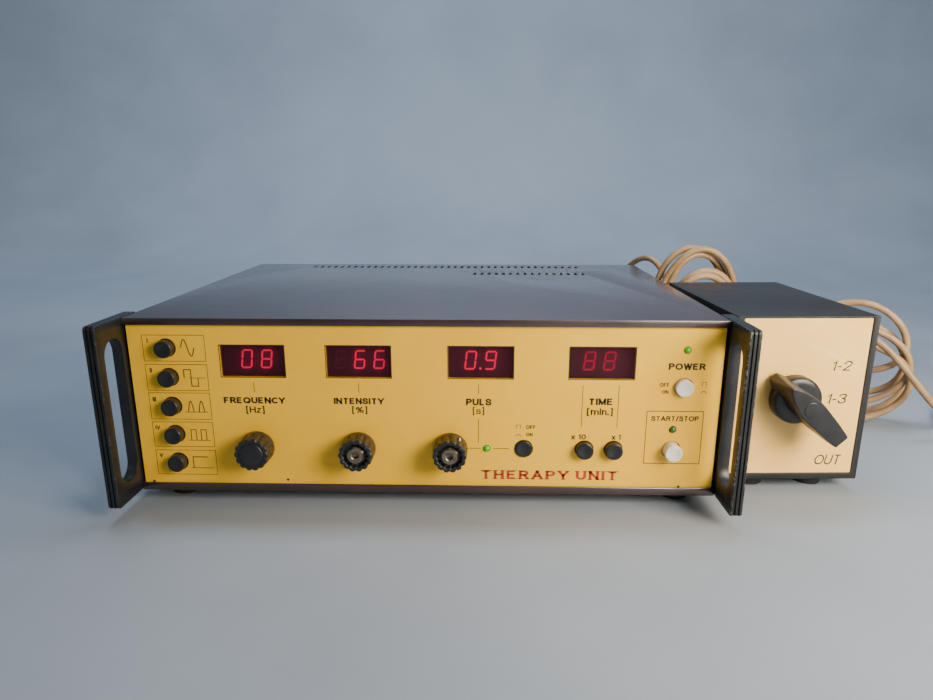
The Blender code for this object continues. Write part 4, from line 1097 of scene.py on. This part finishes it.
def make_link_lead():
    """From the console's output gland, over the corner of the console, through the hank behind the selector
    box, to the box's own gland."""
    exit_at = (LINK_EXIT[0], REAR_FACE + RELIEF_LENGTH, LINK_EXIT[1])
    out = [exit_at, (190.0, 347.0, 60.4), (191.2, 357.0, 65.0), (194.2, 364.5, 75.0), (198.0, 366.5, 89.0)]
    out += [(202.0, 361.0, 105.0), (207.0, 350.0, 121.0), (214.0, 336.0, 136.0), (222.0, 322.0, 147.5)]
    out += [(230.0, 309.5, 152.5), (238.0, 298.5, 148.5), (246.5, 290.0, 134.0), (256.0, 285.0, 110.0)]
    out += [(267.0, 282.0, 82.0), (275.0, 278.0, 56.0), (277.5, 272.0, 34.0), (271.0, 263.0, 15.0)]
    loops = (
        (39, 168, -5, -6, 2, 0),
        (40, 174, -1, 3, 4, 0),
        (42, 152, 0, 8, 6, 0),
        (41, 143, -1, -4, -4, 0),
        (40, 163, 2, 2, 14, 0),
    )
    depths = (-15.4, -8.0, 0.0, 8.0, 15.4, 14.0, -15.0)
    turns = hank_turns(LINK_HANK, math.radians(256), 4.72, loops, depths, 3.0, 0.98)
    down = [(306.0, 253.0, 56.0), (307.0, 262.0, 35.0), (309.0, 274.5, 17.0), (311.3, 290.0, 7.4)]
    down += [(314.0, 306.0, 12.0), (316.0, 313.5, 28.0), (317.0, 306.0, 43.5), (317.0, 289.0, 52.5)]
    down += [(317.0, 269.0, 51.5), (317.0, 251.0, 45.5), (316.8, 240.0, 42.6)]
    gland = SELECTOR @ Matrix.Translation((BOX_EXIT[0], BOX_DEEP + RELIEF_LENGTH, BOX_EXIT[1]))
    end = np.array(gland.translation) - np.array(CONSOLE.translation)
    route = np.vstack([out, turns, down, [end]])
    make_lead("link_flex", route, ("link_lead", "link_hank", "link_lead_end"))


def make_mains_lead():
    """From the rear of the console, through the hank beside the box and the coil, to the plug."""
    exit_at = (MAINS_EXIT[0], REAR_FACE + RELIEF_LENGTH, MAINS_EXIT[1])
    out = [exit_at, (120.0, 347.0, 39.7), (120.8, 357.0, 37.0), (124.5, 366.5, 29.5), (133.0, 374.0, 19.0)]
    out += [(146.0, 378.5, 10.0), (165.0, 380.0, 5.0), (195.0, 378.0, 3.5), (250.0, 366.0, 3.4)]
    out += [(300.0, 346.0, 3.4), (334.0, 320.0, 3.4), (350.0, 294.0, 3.6), (356.5, 270.0, 4.4)]
    out += [(360.5, 250.0, 8.0), (363.5, 231.0, 18.0)]
    loops = (
        (53, 80, -4, -2, 4, 0),
        (52, 104, -7, -4, 8, 24),
        (48, 121, -8, -6, -6, 50),
        (50, 98, -6, 3, 4, 14),
        (51, 84, -4, 1, 6, 0),
        (50, 102, -6, 0, 6, 30),
    )
    turns = hank_turns(MAINS_HANK, math.radians(172), 5.16, loops, (-16.5, 16.8), 1.0, 1.0)
    strand = [(411.0, 168.0, 94.0), (428.0, 156.0, 79.0), (443.0, 146.0, 59.0), (460.0, 141.0, 38.0)]
    strand += [(477.0, 143.0, 23.0), (491.0, 155.0, 12.5), (501.0, 172.0, 6.0), (509.0, 190.0, 3.7)]
    strand += [(520.0, 208.0, 3.6), (538.0, 219.0, 4.2)]
    angle = np.radians(110) - np.linspace(0, np.radians(200 + 360 * 3), 72)
    turn = (angle[0] - angle) / TAU
    inner, outer = COIL_RADIUS
    radius = np.interp(turn, (0, 0.75, 1.1, 2.35, 2.7, 3.6), (outer, outer, inner, inner, outer, outer))
    height = np.interp(turn, (0, 1.55, 1.95, 3.6), (4.4, 4.4, 10.9, 10.9))
    coil = np.column_stack([COIL_AT[0] + radius * np.cos(angle), COIL_AT[1] + radius * np.sin(angle), height])
    home = [(550.0, 148.5, 12.0), (537.0, 136.0, 15.0), (530.6, 122.0, 18.0), (530.0, 109.2, 18.6)]
    route = np.vstack([out, turns, strand, coil, home])
    plug = make_plug()
    tie = make_tie()
    stands_for = ("mains_lead_rear", "mains_hank", "mains_lead_strand", "mains_coil", "mains_lead_end")
    make_lead("mains_flex", route, stands_for)


def make_plug():
    """A moulded round plug: a ribbed sleeve, a waist to hold it by, a flat face and two round pins."""
    height = np.linspace(12.0, 39.0, 48)
    radius = 6.6 - 2.0 * (height - 12.0) / 27.0 - 0.5 * (np.sin((height - 12.0) * TAU / 4.5) > 0.1)
    sleeve = np.column_stack([radius, height])[::-1].tolist()
    grip = [(9.5, 8.5), (14.0, 3.0), (16.2, -4.0), (15.6, -12.0), (17.2, -19.0)]
    grip += [(PLUG_RADIUS, -22.0), (PLUG_RADIUS, -30.0), (0, -30.0)]
    shape = lathe(np.vstack([[(0, 39.0)], sleeve, rounded([(8.0, 11.0), *grip], 1.2, 4)]), 64)
    place = CONSOLE @ Matrix.Translation((*PLUG_AT, PLUG_RADIUS + 0.1)) @ TO_BACK
    plug = piece("plug_body", shape, "moulded PVC, beige", place, "case", ("mains_plug",), 40)
    pins = []
    for side in (-9.5, 9.5):
        pin = rounded([(0, -29.5), (2.4, -29.5), (2.4, -49.0), (0, -49.0)], 1.0, 5)
        points, faces = lathe(pin, 28)
        pins.append((points + (side, 0, 0), faces))
    made = piece("plug_pins", joined(pins), "nickel plate", place)
    made.parent = plug
    return plug


def make_tie():
    """A soft strap round the coil's turns: a flat band along a rounded loop in the turns' cross-section."""
    middle = sum(COIL_RADIUS) / 2
    rings = []
    for grow, shift in ((0.0, -3.5), (0.5, -3.5), (0.5, 3.5), (0.0, 3.5)):
        u, v = rectangle(7.1 + grow, 6.85 + grow, 3.6, 8).T
        rings.append(np.column_stack([u + middle, np.full(len(u), shift), v + 7.6]))
    grid = np.array(rings)
    shape = (grid.reshape(-1, 3), grid_faces(*grid.shape[:2], along=True))
    place = CONSOLE @ Matrix.Translation((*COIL_AT, 0)) @ Matrix.Rotation(math.radians(20), 4, "Z")
    return piece("coil_strap", shape, "moulded ABS, black", place, "case", (), 40)


# ---------------------------------------------------------------- room, light and camera


def make_room():
    """A pale table that curves up through a quarter circle into a backdrop, in metres."""
    turn, radius, table_end = np.linspace(0.05, 1.5, 16), 0.7, 0.95
    flat, wall = np.linspace(-1.6, table_end, 24), np.linspace(0.75, 3.2, 12)
    depth = np.concatenate([flat, table_end + radius * np.sin(turn), np.full(12, 1.65)])
    rise = np.concatenate([np.zeros(24), radius - radius * np.cos(turn), wall])
    across = np.linspace(-3.2, 3.2, 9)
    grid = np.stack(np.broadcast_arrays(across[None, :], depth[:, None], rise[:, None]), -1)
    mesh = bpy.data.meshes.new("table_and_backdrop")
    mesh.from_pydata(grid.reshape(-1, 3).tolist(), [], grid_faces(len(depth), 9, around=False))
    mesh.shade_smooth()
    made = bpy.data.objects.new("table_and_backdrop", mesh)
    bpy.context.scene.collection.objects.link(made)
    # Matt studio card, pale blue-grey.
    mesh.materials.append(mottled("studio_card_pale", "7F8891", "8B949D", 300.0, (0.6, 0.75))[0])


def make_light(name, at, toward, size, power, colour):
    """A soft rectangular lamp at a point, turned towards another, its size in metres."""
    lamp = bpy.data.lights.new(name, "AREA")
    lamp.shape = "RECTANGLE"
    lamp.size, lamp.size_y = size
    lamp.energy = power
    lamp.color = linear(colour)[:3]
    made = bpy.data.objects.new(name, lamp)
    bpy.context.scene.collection.objects.link(made)
    made.location = at
    made.rotation_euler = (Vector(toward) - Vector(at)).to_track_quat("-Z", "Y").to_euler()


def make_lights():
    """A warm key near the right of the object, a weak cool fill, and a wash on the backdrop."""
    make_light("key", (0.56, -0.6, 0.4), (0.14, 0.0, 0.05), (0.4, 0.4), 15, "FFF0DC")
    make_light("fill", (-1.5, -1.3, 1.0), (-0.1, 0.0, 0.1), (1.2, 1.0), 2.5, "EAF0FF")
    make_light("backdrop_wash", (0.0, 0.5, 2.3), (0.0, 1.65, 0.9), (1.8, 0.8), 72, "DCEAFF")
    room = bpy.data.worlds.new("studio")
    room.use_nodes = True
    room.node_tree.nodes["Background"].inputs["Color"].default_value = linear("C3D0DE")
    room.node_tree.nodes["Background"].inputs["Strength"].default_value = 0.26
    bpy.context.scene.world = room


def make_camera():
    """A 25 mm lens a little above the case, turned slightly to the left."""
    yaw, pitch = 0.0244, 0.2540
    forward = Vector((-math.sin(yaw) * math.cos(pitch), math.cos(yaw) * math.cos(pitch), -math.sin(pitch)))
    right = Vector((math.cos(yaw), math.sin(yaw), 0.0))
    turn = Matrix((right, right.cross(forward), -forward)).transposed().to_4x4()
    lens = bpy.data.cameras.new("camera")
    lens.sensor_width = 36.0
    lens.lens = 25.397
    lens.clip_start, lens.clip_end = 0.02, 30.0
    made = bpy.data.objects.new("camera", lens)
    bpy.context.scene.collection.objects.link(made)
    made.matrix_world = Matrix.Translation((-0.01538, -0.60391, 0.23834)) @ turn
    bpy.context.scene.camera = made


make_camera()
make_room()
make_lights()
make_link_lead()
make_mains_lead()
make_case()
make_panel()
make_legends()
make_displays()
make_buttons()
make_knobs()
make_lamps()
make_handles()
make_feet()
make_rear()
make_insides()
make_selector_box()
make_selector_handle()
